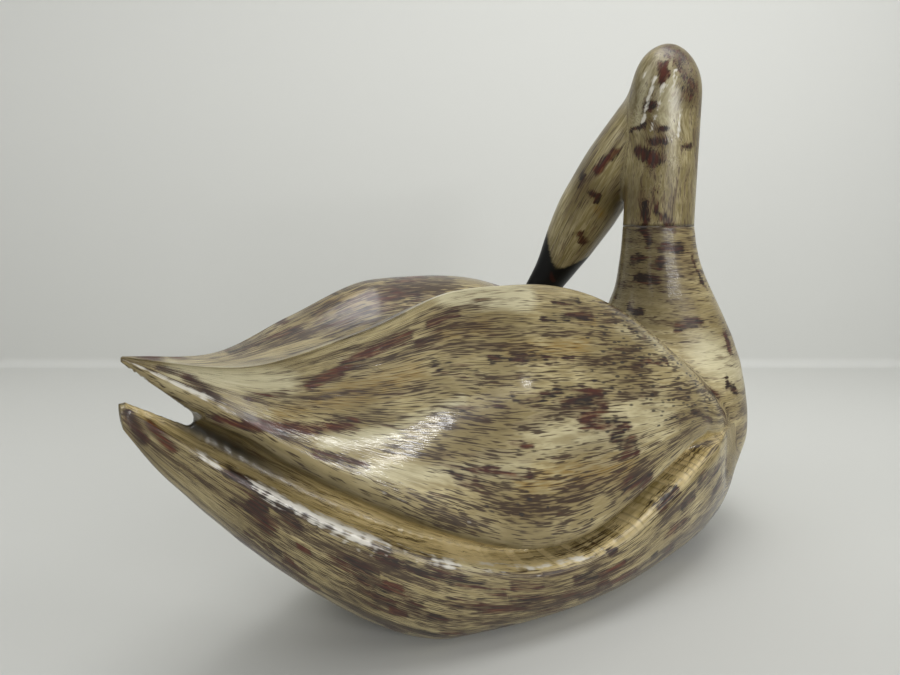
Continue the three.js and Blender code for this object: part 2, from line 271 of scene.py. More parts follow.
# %% [markdown]
# ## One cross-section
# Cut across, the body is a boat below and two wings above, with a channel gouged between them. Sculpting
# or subdividing a box would give the form too, but then nothing would follow the sizes. So each half
# section is walked from the middle of the bottom to the middle of the top with a fixed number of steps
# for each part, and the same step lies on the same feature at every station. Each step also keeps its
# distance across the grain, counted in metres from the valley: the grain lines of the finish will follow
# the form with it.

# %% Distance across the grain at each feature
KEEL_LINE, BILGE_LINE, TOPSIDE_LINE, LIP_LINE = 0.300, 0.262, 0.195, 0.175
RIM_LINE, FLANK_LINE, CREST_LINE = 0.135, 0.130, 0.035
print("from valley to keel, m:", KEEL_LINE)

# %% The boat's part of a section
BOTTOM_STEPS, BILGE_STEPS, TOPSIDE_STEPS = 3, 15, 4


def boat_part(s):
    """Bottom, bilge and topside, from the middle of the bottom to the lip of the channel."""
    flat_at_ends, flat_more_in_middle, widest_level = 0.3, 0.27, 0.66
    half, bottom = hull_half_width(s), keel_height(s)
    lip = WING_HEIGHT * lip_height(s)
    flat = half * (flat_at_ends + flat_more_in_middle * math.sin(math.pi * s))
    widest = bottom + widest_level * (lip - bottom)
    t = np.arange(BOTTOM_STEPS) / BOTTOM_STEPS
    floor_part = (flat * t, bottom + 0 * t, lerp(KEEL_LINE, BILGE_LINE, t))
    t = np.arange(BILGE_STEPS) / BILGE_STEPS
    turn = t * np.pi / 2
    out, up = flat + (half - flat) * np.sin(turn), widest - (widest - bottom) * np.cos(turn)
    bilge = (out, up, lerp(BILGE_LINE, TOPSIDE_LINE, t))
    t = np.arange(TOPSIDE_STEPS + 1) / TOPSIDE_STEPS
    topside = (lerp(half, half * lip_width(s), t), lerp(widest, lip, t), lerp(TOPSIDE_LINE, LIP_LINE, t))
    return [floor_part, bilge, topside]


print("points of the boat's part:", sum(len(part[0]) for part in boat_part(0.5)))

# %% The channel's part of a section
CHANNEL_STEPS = 20
WEB_HALF = 1.2 * MM


def rim_at(s):
    """Thickness of the rim above the channel, never more than its opening leaves."""
    most_of_opening = 0.42
    return min(RIM_THICKNESS * rim_share(s), WING_HEIGHT * channel_opening(s) * most_of_opening)


def channel_part(s):
    """The gouged channel, from its lip to the underside of the wing's rim."""
    roundness, bite_slant, bite_begins, bite_ends = 0.6, 0.7, (0.1, 0.25), (0.8, 1)
    half = hull_half_width(s)
    depth = max(min(CHANNEL_DEPTH * gouge_share(s), half - WEB_HALF), 0)
    q = np.arange(1, CHANNEL_STEPS + 1) / (CHANNEL_STEPS + 1)
    across = (1 - np.cos(np.pi * q)) / 2
    rise = lerp(across, bevelled_rise(q), bevel_share(s))
    share = lerp(np.sin(np.pi * q) ** roundness, bevelled_depth(q), bevel_share(s))
    bite = gouge_marks(s) * smoothstep(*bite_begins, q) * (1 - smoothstep(*bite_ends, q)) * bite_slant
    y = lerp(half * lip_width(s), half * rim_width(s), across) - depth * share - bite
    z = WING_HEIGHT * lip_height(s) + (WING_HEIGHT * channel_opening(s) - rim_at(s)) * rise - bite
    return [(np.maximum(y, WEB_HALF), z, lerp(LIP_LINE, RIM_LINE, q))]


print("points of the channel's part:", len(channel_part(0.5)[0][0]))

# %% The wing's part of a section
FLANK_STEPS, VALLEY_STEPS = 38, 11


def wing_part(s):
    """Rim, flank and half of the valley, from the channel to the middle of the back."""
    rim, rim_half = rim_at(s), hull_half_width(s) * rim_width(s)
    rim_top = WING_HEIGHT * (lip_height(s) + channel_opening(s))
    crest_half = min(BODY_WIDTH / 2 * crest_width(s), rim_half * 0.9)
    crest = max(WING_HEIGHT * crest_height(s), rim_top + 0.5 * MM)
    valley = min(WING_HEIGHT * valley_height(s), crest)
    t = np.array([0, 0.5])
    edge = (rim_half - rim / 5 * (1 - t), rim_top - rim * (1 - t), lerp(RIM_LINE, FLANK_LINE, t))
    q = np.arange(FLANK_STEPS + 1) / FLANK_STEPS
    inward = lerp(1 - np.cos(q * np.pi / 2), 1 - (1 - q) ** 3, flank_hollow(s))
    dip = min(FLANK_DIP * dip_share(s), crest_half / 2) * np.sin(np.pi * q**0.8)
    out, up = lerp(rim_half, crest_half, inward) - dip, lerp(rim_top, crest, np.sin(q * np.pi / 2))
    flank = (out, up, lerp(FLANK_LINE, CREST_LINE, q))
    t = 1 - np.arange(1, VALLEY_STEPS + 1) / VALLEY_STEPS
    up = valley + (crest - valley) * (1 - np.cos(np.pi * t)) / 2
    return [edge, flank, (crest_half * t, up, CREST_LINE * t)]


def half_section(s):
    """Points (y, z) of half a section and each point's distance across the grain."""
    parts = boat_part(s) + channel_part(s) + wing_part(s)
    return [np.concatenate([p[i] for p in parts]) for i in range(3)]


print("points of a half section:", len(half_section(0.5)[0]))

# %% [markdown]
# ## From sections to a skin
# A loft joins each section to the next with quads and closes both ends with a fan. So the skin is
# watertight, which a boolean needs, and it can have as many sections as the tool marks ask for.


# %% A mesh from lists, and a loft
def mesh_object(name, vertices, faces):
    """A new mesh object from plain lists."""
    mesh = bpy.data.meshes.new(name)
    mesh.from_pydata([tuple(v) for v in vertices], [], faces)
    mesh.update()
    made = bpy.data.objects.new(name, mesh)
    bpy.context.collection.objects.link(made)
    return made


def loft(name, rings):
    """A closed skin through rings of points, shape (rings, points, 3)."""
    rows, count = rings.shape[:2]
    centres = [rings[:1].mean(axis=1), rings[-1:].mean(axis=1)]
    vertices = np.concatenate([rings.reshape(-1, 3), *centres])
    start, end = rows * count, rows * count + 1
    last = (rows - 1) * count
    faces = []
    for i in range(rows - 1):
        for j in range(count):
            k = (j + 1) % count
            faces.append((i * count + j, i * count + k, (i + 1) * count + k, (i + 1) * count + j))
    for j in range(count):
        k = (j + 1) % count
        faces.append((start, k, j))
        faces.append((end, last + j, last + k))
    return mesh_object(name, vertices, faces)


# %% [markdown]
# ## Joining two skins
# A real block is one piece, so the hull and the breast have to become one skin. Joining the two objects
# would leave faces inside. A boolean keeps only the outside, and new_from_object turns its result into a
# plain mesh.


# %% A boolean between two skins
def combine(target, tool, operation):
    """Joins tool to target, or cuts it away, and deletes the tool."""
    modifier = target.modifiers.new("combine", "BOOLEAN")
    modifier.operation = operation
    modifier.object = tool
    modifier.solver = "MANIFOLD"
    graph = bpy.context.evaluated_depsgraph_get()
    mesh = bpy.data.meshes.new_from_object(target.evaluated_get(graph))
    target.modifiers.clear()
    target.data = mesh
    bpy.data.objects.remove(tool)
    return target


# %% [markdown]
# ## Hull and wings
# This is the largest part of the first block. The sections above stand one behind the other, closer at
# the two ends, where the form turns fastest. The left half mirrors the right. At the very tail the hull
# reaches a little further back than the wing tips, as the real one does.

# %% Hull and wings
BODY_STATIONS = 470
END_CLOSENESS = 0.2

even = np.linspace(0, 1, BODY_STATIONS + 1)
stations = HULL_END * (even - END_CLOSENESS * np.sin(2 * np.pi * even) / (2 * np.pi))
TAIL_END = 0.05
hull_rings, hull_across = [], []
for s in stations:
    y, z, across = half_section(float(s))
    reach = TAIL_REACH * max(1 - s / TAIL_END, 0) ** 2
    x = BODY_LENGTH * (s - ORIGIN_SHARE) - np.where(z > WING_HEIGHT * lip_height(s), 0, reach)
    left = np.stack([x, y, z], axis=1)
    right = (left * [1, -1, 1])[1:-1][::-1]
    hull_rings.append(np.concatenate([left, right]))
    hull_across.append(np.concatenate([across, -across[1:-1][::-1]]))
hull_rings = np.array(hull_rings)
hull_across = np.array(hull_across)
body = loft("carved_body", hull_rings)
print("hull and wings:", len(body.data.polygons), "faces")

# %% [markdown]
# ## Breast and neck stump
# They grow out of the same block, but upwards, so their sections lie level. Each one is an ellipse, and
# its front, its back and its half width are curves of height, from 0 at the floor to 1 at the seam.

# %% Side and front view of the breast
neck_front = NECK_PLACE + NECK_DEPTH / 2 / BODY_LENGTH
neck_back = NECK_PLACE - NECK_DEPTH / 2 / BODY_LENGTH
breast_front = profile([
    (0.2, 0.955), (0.29, 0.993), (0.39, 1), (0.485, 1),
    (0.64, 0.99), (0.777, 0.951), (0.893, 0.917), (1, neck_front),
])
breast_back = profile([
    (0.2, 0.7), (0.29, 0.65), (0.485, 0.677), (0.64, 0.739), (0.777, 0.772), (0.893, 0.778),
    (1, neck_back),
])
breast_half_width = profile([
    (0.2, 0.8), (0.29, 0.86), (0.39, 0.835), (0.485, 0.767),
    (0.64, 0.56), (0.777, 0.405), (0.893, 0.32), (1, NECK_WIDTH / BODY_WIDTH),
])
print("the stump starts at station", round(neck_back, 3), "and ends at", round(neck_front, 3))


# %% Level rings
def ellipse_ring(centre, half_length, half_width, z, sides):
    """One level ring around a point on the swan's middle plane."""
    a = np.arange(sides) / sides * 2 * np.pi
    x, y = centre + half_length * np.cos(a), half_width * np.sin(a)
    return np.stack([x, y, np.full(sides, z)], axis=1)


print("a ring of four sides:", ellipse_ring(0, 2, 1, 0, 4).round(2).tolist())

# %% [markdown]
# The rings are lofted like the hull. The last ring is the film of glue that holds the neck, a little
# narrower than the wood, and it leaves the fine dark seam that shows on the real neck.

# %% Breast and neck stump
TRUNK_ROWS, TRUNK_SIDES, TRUNK_START = 110, 120, 0.2
FILM_SHARE, FILM_HEIGHT = 0.93, 0.9 * SEAM_GAP
neck_x = BODY_LENGTH * (NECK_PLACE - ORIGIN_SHARE)
trunk_rings = []
for h in np.linspace(TRUNK_START, 1, TRUNK_ROWS + 1):
    front = BODY_LENGTH * (breast_front(h) - ORIGIN_SHARE)
    back = BODY_LENGTH * (breast_back(h) - ORIGIN_SHARE)
    half = BODY_WIDTH / 2 * breast_half_width(h)
    level = h * (SEAM_HEIGHT - SEAM_GAP / 2)
    trunk_rings.append(ellipse_ring((front + back) / 2, (front - back) / 2, half, level, TRUNK_SIDES))
film = (trunk_rings[-1] - [neck_x, 0, 0]) * [FILM_SHARE, FILM_SHARE, 1]
trunk_rings.append(film + [neck_x, 0, FILM_HEIGHT])
trunk = loft("breast_and_stump", np.array(trunk_rings))
print("breast and stump:", len(trunk.data.polygons), "faces")

# %% [markdown]
# ## The slot at the tail
# The two channels meet at the tail and leave a slot right through, with a round end. A prism with the
# slot's outline is cut away from the hull, as a saw and a drill would do it on the block.

# %% Outline of the slot
SLOT_LOW, SLOT_HIGH = (0.1, 0.32), (0.88, 0.64)
SLOT_STEPS, SLOT_ROUND_STEPS = 12, 17


def slot_edge(t, level):
    """A point of the slot's outline in the side view, from the tail at t = 0 to the web at t = 1."""
    s = t * SLOT_LENGTH / BODY_LENGTH
    up = lip_height(s) + channel_opening(s) * lerp(level[0], level[1], t)
    return np.array([BODY_LENGTH * (s - ORIGIN_SHARE), WING_HEIGHT * up])


beyond = np.array([-10 * MM, 0])
low_end, high_end = slot_edge(1, SLOT_LOW), slot_edge(1, SLOT_HIGH)
radius = (high_end[1] - low_end[1]) / 2
outline = [slot_edge(0, SLOT_LOW) + beyond]
outline += [slot_edge(t, SLOT_LOW) for t in np.linspace(0, 1, SLOT_STEPS)]
for a in np.linspace(-np.pi / 2, np.pi / 2, SLOT_ROUND_STEPS)[1:-1]:
    outline.append((low_end + high_end) / 2 + radius * np.array([math.cos(a), math.sin(a)]))
outline += [slot_edge(t, SLOT_HIGH) for t in np.linspace(1, 0, SLOT_STEPS)]
outline.append(slot_edge(0, SLOT_HIGH) + beyond)
outline = np.array(outline)
print("slot end radius, mm:", round(radius / MM, 2))

# %% Prism that cuts the slot
prism_rings = [np.stack([outline[:, 0], np.full(len(outline), y), outline[:, 1]], axis=1)
               for y in (BODY_WIDTH / 2, -BODY_WIDTH / 2)]
prism = loft("slot_prism", np.array(prism_rings))
print("prism:", len(prism.data.polygons), "faces")

# %% [markdown]
# ## Softening what the boolean leaves
# A boolean leaves a hard line where two skins cross, and a carver never does. A bevel would need the line
# as clean edges. Smoothing doesn't: each vertex moves towards the middle of its neighbours, many times
# over near the crossing and only a little elsewhere. These helpers read a mesh as arrays and smooth it by
# a weight.


# %% Mesh to arrays
def vertex_array(obj):
    """The mesh's vertices as an array."""
    co = np.empty(len(obj.data.vertices) * 3)
    obj.data.vertices.foreach_get("co", co)
    return co.reshape(-1, 3)


def edge_array(obj):
    """The mesh's edges as pairs of vertex numbers."""
    pairs = np.empty(len(obj.data.edges) * 2, dtype=np.int64)
    obj.data.edges.foreach_get("vertices", pairs)
    return pairs.reshape(-1, 2)


print("hull and wings:", len(vertex_array(body)), "vertices,", len(edge_array(body)), "edges")


# %% Smoothing by weight
def neighbour_mean(values, pairs, count):
    """Mean of each vertex's neighbours, for an array of one or more columns."""
    total = np.zeros_like(values)
    degree = np.bincount(pairs.ravel(), minlength=count)
    for k in range(values.shape[1]):
        total[:, k] = np.bincount(pairs[:, 0], values[pairs[:, 1], k], count)
        total[:, k] += np.bincount(pairs[:, 1], values[pairs[:, 0], k], count)
    return total / np.maximum(degree, 1)[:, None]


def relax(co, pairs, weight, rounds):
    """Moves vertices to the middle of their neighbours, by a weight of 0 to 1 each."""
    for _ in range(rounds):
        co = co + (neighbour_mean(co, pairs, len(co)) - co) * weight[:, None]
    return co


corner = np.array([[0.0, 0.0], [1.0, 1.0], [2.0, 0.0]])
corner = relax(corner, np.array([[0, 1], [1, 2]]), np.array([0, 0.5, 0]), 1)
print("a corner of height 1, smoothed once by half:", corner[1, 1])


# %% Distance to a skin
def distance_to(tree, co):
    """How far each point is from the surface held by a tree."""
    return np.array([tree.find_nearest(Vector(p))[3] for p in co])


graph = bpy.context.evaluated_depsgraph_get()
hull_tree = BVHTree.FromObject(body, graph)
trunk_tree = BVHTree.FromObject(trunk, graph)
print("stump to hull, mm:", round(distance_to(hull_tree, trunk_rings[-1]).max() / MM, 1))

# %% [markdown]
# ## The body in one piece
# The slot is cut, the breast is joined, and the skin is smoothed where both lofts lie close together, so
# that the breast runs into the hull. At the wings' shoulder the crease stays sharper, as it is carved
# there. The flat underside and the glued seam don't move, because the swan stands on one and the neck on
# the other.

# %% Join and cut the body
combine(body, prism, "DIFFERENCE")
combine(body, trunk, "UNION")
print("joined:", len(body.data.polygons), "faces")

# %% Soften the body
BLEND_REACH = 9 * MM
BLEND_ROUNDS, EDGE_ROUNDS = 60, 2
SHOULDER_LOW, SHOULDER_HIGH = (86 * MM, 94 * MM), (125 * MM, 140 * MM)
co, pairs = vertex_array(body), edge_array(body)
crossing = np.maximum(distance_to(hull_tree, co), distance_to(trunk_tree, co))
seam_free = 1 - smoothstep(-6 * MM, -1 * MM, co[:, 2] - body_high.z)
shoulder = smoothstep(*SHOULDER_LOW, co[:, 2]) * (1 - smoothstep(*SHOULDER_HIGH, co[:, 2]))
blend = (1 - smoothstep(0, BLEND_REACH, crossing)) * seam_free * (1 - 0.8 * shoulder)
on_floor = smoothstep(0, 0.4 * MM, co[:, 2])
co = relax(co, pairs, 0.9 * blend * on_floor, BLEND_ROUNDS)
co = relax(co, pairs, 0.5 * seam_free * on_floor, EDGE_ROUNDS)
body.data.vertices.foreach_set("co", co.ravel())
body.data.update()
print("body:", len(body.data.polygons), "faces", len(co), "vertices")

# %% [markdown]
# ## Upper neck
# It is cut from a second block with upright grain and glued on the stump. It is nearly straight, so level
# ellipses give it, and they close like a dome where the neck bends over.

# %% Upper neck
NECK_ROWS, NECK_SIDES = 90, 96
DOME_START, DOME_TIP_SHARE = 0.72, 0.08
neck_bottom = SEAM_HEIGHT + SEAM_GAP / 2
neck_rings = []
for t in np.linspace(0, 1, NECK_ROWS + 1):
    h = 1 - (1 - t) ** 1.5
    cap = max(h - DOME_START, 0) / (1 - DOME_START)
    share = max(math.sqrt(1 - cap * cap), DOME_TIP_SHARE)
    level = neck_bottom + (NECK_RISE - SEAM_GAP / 2) * h
    half_depth, half_width = NECK_DEPTH / 2 * share, NECK_WIDTH / 2 * share
    neck_rings.append(ellipse_ring(neck_x, half_depth, half_width, level, NECK_SIDES))
neck = loft("carved_neck_and_head", np.array(neck_rings))
print("upper neck:", len(neck.data.polygons), "faces")

# %% [markdown]
# ## Head and bill
# The head hangs from inside the bend. Its sections stand across a middle line that runs from the bend to
# the bill's tip, which a stack of level sections couldn't follow, and they are rolled a little about that
# line, so that the face turns to the swan's left.

# %% Middle line and sections of the head
head_out = profile([
    (0, 0), (0.12, 0.04), (0.27, 0.125), (0.43, 0.31), (0.64, 0.56), (0.83, 0.765), (1, 1),
])
head_down = profile([
    (0, 0.13), (0.12, 0.14), (0.27, 0.24), (0.43, 0.4), (0.64, 0.625), (0.83, 0.82), (1, 1),
])
head_half = profile([
    (0, 0.7), (0.12, 0.75), (0.27, 0.82), (0.43, 0.97), (0.57, 1),
    (0.7, 0.88), (0.83, 0.66), (0.95, 0.48), (1, 0.3),
])
head_thickness = profile([(0, 1.25), (0.3, 1.25), (0.57, 1.05), (0.83, 0.75), (1, 0.5)])
out = Vector((math.cos(HEAD_TURN), math.sin(HEAD_TURN), 0))
side = Vector((-math.sin(HEAD_TURN), math.cos(HEAD_TURN), 0))
print("the head points", round(math.degrees(HEAD_TURN)), "degrees from the breast")


# %% A place on the head's middle line
def head_middle(q):
    """A point of the head's middle line, from the bend at 0 to the bill's tip at 1."""
    drop = head_high.z - HEAD_DROP * float(head_down(q))
    return Vector((neck_x, 0, drop)) + out * (HEAD_REACH * float(head_out(q)))


def head_axes(q):
    """Along the head, across its face and away from its face, at a place along it."""
    step = 0.01
    along = (head_middle(min(q + step, 1)) - head_middle(max(q - step, 0))).normalized()
    across = side.copy()
    across.rotate(Quaternion(along, HEAD_TWIST))
    return along, across, along.cross(across).normalized()


print("the bill's tip lies at", [round(v, 3) for v in head_middle(1)])

# %% Head
HEAD_ROWS, HEAD_SIDES = 130, 80
head_rings = []
for q in np.linspace(0, 1, HEAD_ROWS + 1):
    along, across, away = head_axes(q)
    half = HEAD_WIDTH / 2 * float(head_half(q))
    thin = float(head_thickness(q))
    a = np.arange(HEAD_SIDES)[:, None] / HEAD_SIDES * 2 * np.pi
    ring = np.array(head_middle(q)) + half * np.cos(a) * np.array(across)
    head_rings.append(ring + half * thin * np.sin(a) * np.array(away))
head = loft("head", np.array(head_rings))
print("head:", len(head.data.polygons), "faces")

# %% [markdown]
# ## The neck and head in one piece
# They are joined and smoothed as the body is. Where the head leaves the neck there is a round hollow
# instead of a line. The glued face stays as it is.

# %% Join and soften the neck and head
graph = bpy.context.evaluated_depsgraph_get()
neck_tree = BVHTree.FromObject(neck, graph)
head_tree = BVHTree.FromObject(head, graph)
combine(neck, head, "UNION")
co, pairs = vertex_array(neck), edge_array(neck)
crossing = np.maximum(distance_to(neck_tree, co), distance_to(head_tree, co))
seam_free = smoothstep(1 * MM, 6 * MM, co[:, 2] - neck_bottom)
blend = (1 - smoothstep(0, BLEND_REACH, crossing)) * seam_free
bill_end = co[:, 2] < neck_bottom - 2 * MM
free = np.where(bill_end, 1, seam_free)
co = relax(co, pairs, 0.9 * blend, BLEND_ROUNDS)
co = relax(co, pairs, 0.5 * free, EDGE_ROUNDS)
neck.data.vertices.foreach_set("co", co.ravel())
neck.data.update()
print("neck and head:", len(neck.data.polygons), "faces", len(co), "vertices")

# %% [markdown]
# ## Knife waves
# A block that was cut with knife and gouge and then sanded is never quite even. Slow noise, drawn out
# along the grain, moves the skin in and out by a fraction of a millimetre, and the varnish shows it in
# its reflections. A bump would do that too, but not at the outline. The underside and the glued seam stay
# flat.


# %% Knife waves
WAVE_ALONG, WAVE_ACROSS = 45 * MM, 13 * MM
WAVE_HEIGHT = 0.35 * MM


def normal_array(obj):
    """The mesh's vertex normals as an array."""
    normals = np.empty(len(obj.data.vertices) * 3)
    obj.data.vertices.foreach_get("normal", normals)
    return normals.reshape(-1, 3)


def knife_waves(obj, stretch, share):
    """Moves each vertex along its normal by slow noise, by a share of 0 to 1."""
    co = vertex_array(obj)
    wave = np.array([noise.noise(Vector(p)) for p in co * stretch])
    co = co + normal_array(obj) * (wave * share * WAVE_HEIGHT)[:, None]
    obj.data.vertices.foreach_set("co", co.ravel())
    obj.data.update()


print("waves of", round(WAVE_HEIGHT / MM, 2), "mm, every", round(WAVE_ACROSS / MM), "mm across the grain")

# %% Waves of the two blocks
body_z = vertex_array(body)[:, 2]
off_floor = smoothstep(1 * MM, 12 * MM, body_z)
body_share = off_floor * (1 - smoothstep(-12 * MM, -2 * MM, body_z - body_high.z))
knife_waves(body, np.array([1 / WAVE_ALONG, 1 / WAVE_ACROSS, 1 / WAVE_ACROSS]), body_share)
neck_co = vertex_array(neck)
beside_neck = neck_co[:, 1] > NECK_WIDTH / 2 + 2 * MM
neck_share = np.where(beside_neck, 1, smoothstep(2 * MM, 12 * MM, neck_co[:, 2] - neck_bottom))
knife_waves(neck, np.array([1 / WAVE_ACROSS, 1 / WAVE_ACROSS, 1 / WAVE_ALONG]), neck_share)
print("vertices that move:", int((body_share > 0).sum() + (neck_share > 0).sum()))

# %% [markdown]
# ## The groove below the bulge of the wing
# On the near wing a soft groove runs from the tail up below the bulge. It is one long stroke of the
# gouge, sanded soft. Each stroke here, and each streak of the paint later on, is a line with a soft
# border: a start, an end and a half width in millimetres, found on the real one.

# %% A soft line on the skin
GROOVE_DEPTH = 2.4 * MM
# start, end and half width, in mm
WING_GROOVE = [
    ((-190, -24, 127), (-150, -37, 119), 11), ((-150, -37, 119), (-126, -43, 122), 12),
    ((-126, -43, 122), (-104, -46, 129), 11), ((-104, -46, 129), (-57, -52, 138), 10),
]


def envelope(co, start, end, half_width):
    """1 on the line from start to end (mm), falling softly to 0 a little beyond its half width.

    The hull and the wings face sideways, so there the depth of the line in the wood counts less.
    """
    sideways_until, depth_on_side, fade_out = 80 * MM, 0.3, 1.9
    start, end = np.array(start) * MM, np.array(end) * MM
    axis = end - start
    t = np.clip((co - start) @ axis / (axis @ axis), 0, 1)
    depth_counts = depth_on_side if start[0] < sideways_until else 1.0
    gap = np.linalg.norm((co - start - t[:, None] * axis) * [1, depth_counts, 1], axis=1)
    return (1 - smoothstep(0, fade_out, gap / (half_width * MM))) ** 2


print("a line of half width 10, seen 10 mm beside it:",
      envelope(np.array([[0, 0, 0.01]]), (-50, 0, 0), (50, 0, 0), 10).round(2))

# %% Cut the groove
co = vertex_array(body)
groove = np.max([envelope(co, *line) for line in WING_GROOVE], axis=0)
co = co - normal_array(body) * (groove * GROOVE_DEPTH)[:, None]
body.data.vertices.foreach_set("co", co.ravel())
body.data.update()
print("vertices in the groove:", int((groove > 0.1).sum()))

# %% [markdown]
# ## Where each point lies on the carving
# Grain and wear follow the form, so each vertex needs to know where it lies: how far along the body, how
# far across the grain, and whether it is inside a channel. A UV map would have to be cut open somewhere.
# Values on the vertices have no seam. The booleans have renumbered the vertices, so each one looks up the
# nearest place on the hull's own loft, where the station and the step are known.


# %% Look up the place on the hull
def hull_place(co):
    """For each point the distance across the grain at the nearest place of the hull, and the gap."""
    count = hull_rings.shape[1]
    across, gap = np.zeros(len(co)), np.zeros(len(co))
    for n, point in enumerate(co):
        near, _, face, gap[n] = hull_tree.find_nearest(Vector(point))
        i, j = divmod(min(face, count * BODY_STATIONS - 1), count)
        k = (j + 1) % count
        if k == 0:
            k = j
        edge = hull_rings[i, k] - hull_rings[i, j]
        t = np.dot(np.array(near) - hull_rings[i, j], edge) / max(np.dot(edge, edge), 1e-12)
        across[n] = lerp(hull_across[i, j], hull_across[i, k], min(max(t, 0), 1))
    return across, gap


print("the keel lies across the grain at", abs(hull_place(hull_rings[200, :1])[0]).round(3))

# %% Places on the body
body_co = vertex_array(body)
across, hull_gap = hull_place(body_co)
trunk_gap = distance_to(trunk_tree, body_co)
on_trunk = smoothstep(-1.5 * MM, 1.5 * MM, hull_gap - trunk_gap)
off_trunk = 1 - on_trunk
station = body_co[:, 0] / BODY_LENGTH + ORIGIN_SHARE
from_valley = abs(across)
print("vertices on the breast and the stump:", int((on_trunk > 0.5).sum()))


# %% Keep values for the materials
def store(obj, name, *columns):
    """Keeps three columns as a vector on each vertex, for the materials."""
    values = np.stack([np.broadcast_to(c, len(obj.data.vertices)) for c in columns], axis=1)
    layer = obj.data.attributes.new(name, "FLOAT_VECTOR", "POINT")
    layer.data.foreach_set("vector", values.astype(np.float32).ravel())


# %% [markdown]
# ## The grain of the body
# The brush and the sanding block went along the form. At the rear, in the channel and below it the lines
# follow the carved features. On the full front of the wings they run nearly level, and around the stump
# they are level. Both are given as one number across the grain, so that the two kinds of lines blend into
# each other.

# %% Grain of the body
GRAIN_TILT = math.radians(-6)
TILT_PLACE = -45 * MM
FLANK_FOOT, FLANK_RISE = 54 * MM, 132 * MM
follows = lerp(1 - smoothstep(0.3, 0.6, station), 1, smoothstep(0.1, 0.13, from_valley))
near_crest = (1 - smoothstep(CREST_LINE, 0.06, from_valley)) * (1 - smoothstep(0.5, 0.62, station))
follows = np.maximum(follows, near_crest) * off_trunk
tilted = body_co[:, 2] - (body_co[:, 0] - TILT_PLACE) * math.tan(GRAIN_TILT) * off_trunk
climb = np.arcsin(np.clip((tilted - FLANK_FOOT) / FLANK_RISE, -1, 1)) / (np.pi / 2)
level = lerp(FLANK_LINE - (FLANK_LINE - CREST_LINE) * climb, body_co[:, 2], on_trunk)
store(body, "grain", body_co[:, 0], lerp(level, from_valley, follows), 0.15 * body_co[:, 1])
print("share that follows the carved features:", round(float(follows.mean()), 2))

# %% [markdown]
# ## Painted shade and the dark seam
# Deep in the channel, most of all towards the tail, on the steep face below the rim and on the back of
# the stump the colour is darkened as painted shade. It is darker along the border of every gouge cut too,
# and the glued seam is a dark joint.

# %% The channel and its depth
channel = smoothstep(0.1295, 0.134, from_valley) * (1 - smoothstep(0.171, 0.1755, from_valley))
channel = channel * (1 - smoothstep(0.79, 0.81, station)) * off_trunk
deep_width = lerp(0.013, 0.009, smoothstep(0.2, 0.4, station))
# painted shade deep in the channel, darkest towards the tail
deep = np.exp(-(((from_valley - 0.152) / deep_width) ** 2)) * channel
towards_tail = 1 - smoothstep(0.1, 0.22, station)
painted_shade_and_seam = deep * (0.1 + 0.9 * towards_tail) * smoothstep(0.02, 0.06, station)
# painted shade on the steep face below the rim
rim_face = (1 - smoothstep(0.139, 0.15, from_valley)) * channel * (1 - smoothstep(0.6, 0.76, station))
print("channel vertices:", int((channel > 0.5).sum()))

# %% Gouge cuts, seam and back of the stump
cut_number, cut_middle = gouge_scoop(np.clip(station, 0, 1))
cut_tone = (gouge_bite[cut_number] - 0.65) * channel * smoothstep(0.25, 0.4, station)
cut_border = (1 - cut_middle) ** 3 * smoothstep(0.35, 0.5, station) * channel
# painted shade on the back of the stump, the side that faces away from the window light
back_of_stump = on_trunk * smoothstep(0.2, 0.9, -normal_array(body)[:, 0])
body_seam = smoothstep(-1.4 * MM, 0, body_co[:, 2] - (SEAM_HEIGHT - SEAM_GAP / 2))
for share, place in ((0.72, rim_face), (0.45, cut_border), (0.5, back_of_stump), (0.55, body_seam)):
    painted_shade_and_seam = np.maximum(painted_shade_and_seam, share * place)
both_gaps = np.maximum(hull_gap, trunk_gap)
# painted shade in the crease where the breast meets the hull and the wings
painted_crease_shade = np.exp(-((both_gaps / (2.5 * MM)) ** 2)) * (1 - channel) * (body_co[:, 2] > 85 * MM)
print("dark vertices:", int((painted_shade_and_seam > 0.5).sum()))

# %% [markdown]
# ## Edges that hands rub
# The lip of the channel and the rim of the wing stand out, so their paint is worn to the white ground
# coat. The lip is whitest behind the tail and again where the channel drops. The rim is white at the
# wing's tip alone.

# %% Worn lip and rim
lip_wear = profile([
    (0, 0.3), (0.052, 0.35), (0.062, 0.9), (0.074, 0.85), (0.084, 0.4), (0.098, 0.5), (0.112, 0.85),
    (0.215, 0.92), (0.24, 0.55), (0.33, 0.6), (0.45, 0.62), (0.56, 0.3), (0.66, 0.2), (0.74, 0), (1, 0),
])
front_lip = smoothstep(0.24, 0.4, station)
lip_middle, lip_reach = lerp(0.177, 0.171, front_lip), lerp(0.009, 0.006, front_lip)
lip_band = np.exp(-(((from_valley - lip_middle) / lip_reach) ** 2)) * lip_wear(station) * off_trunk
near_tip = 1 - smoothstep(0.07, 0.12, station)
rim_reach = lerp(0.0022, 0.022, near_tip)
rim_edge = 1 - smoothstep(0.3 * rim_reach, rim_reach, FLANK_LINE - from_valley)
rim_edge = rim_edge * (from_valley < 0.1305) * lerp(0.35, 0.72, near_tip)
rim_edge = rim_edge * (1 - smoothstep(0.72, 0.8, station)) * off_trunk
body_edge = np.maximum(lip_band, rim_edge)
print("edge vertices:", int((body_edge > 0.5).sum()))

# %% [markdown]
# ## The way the streaks run on the hull
# Streaks at random places have to lie along the form too. At each station they take the direction in
# which the hull widens and its lip rises.

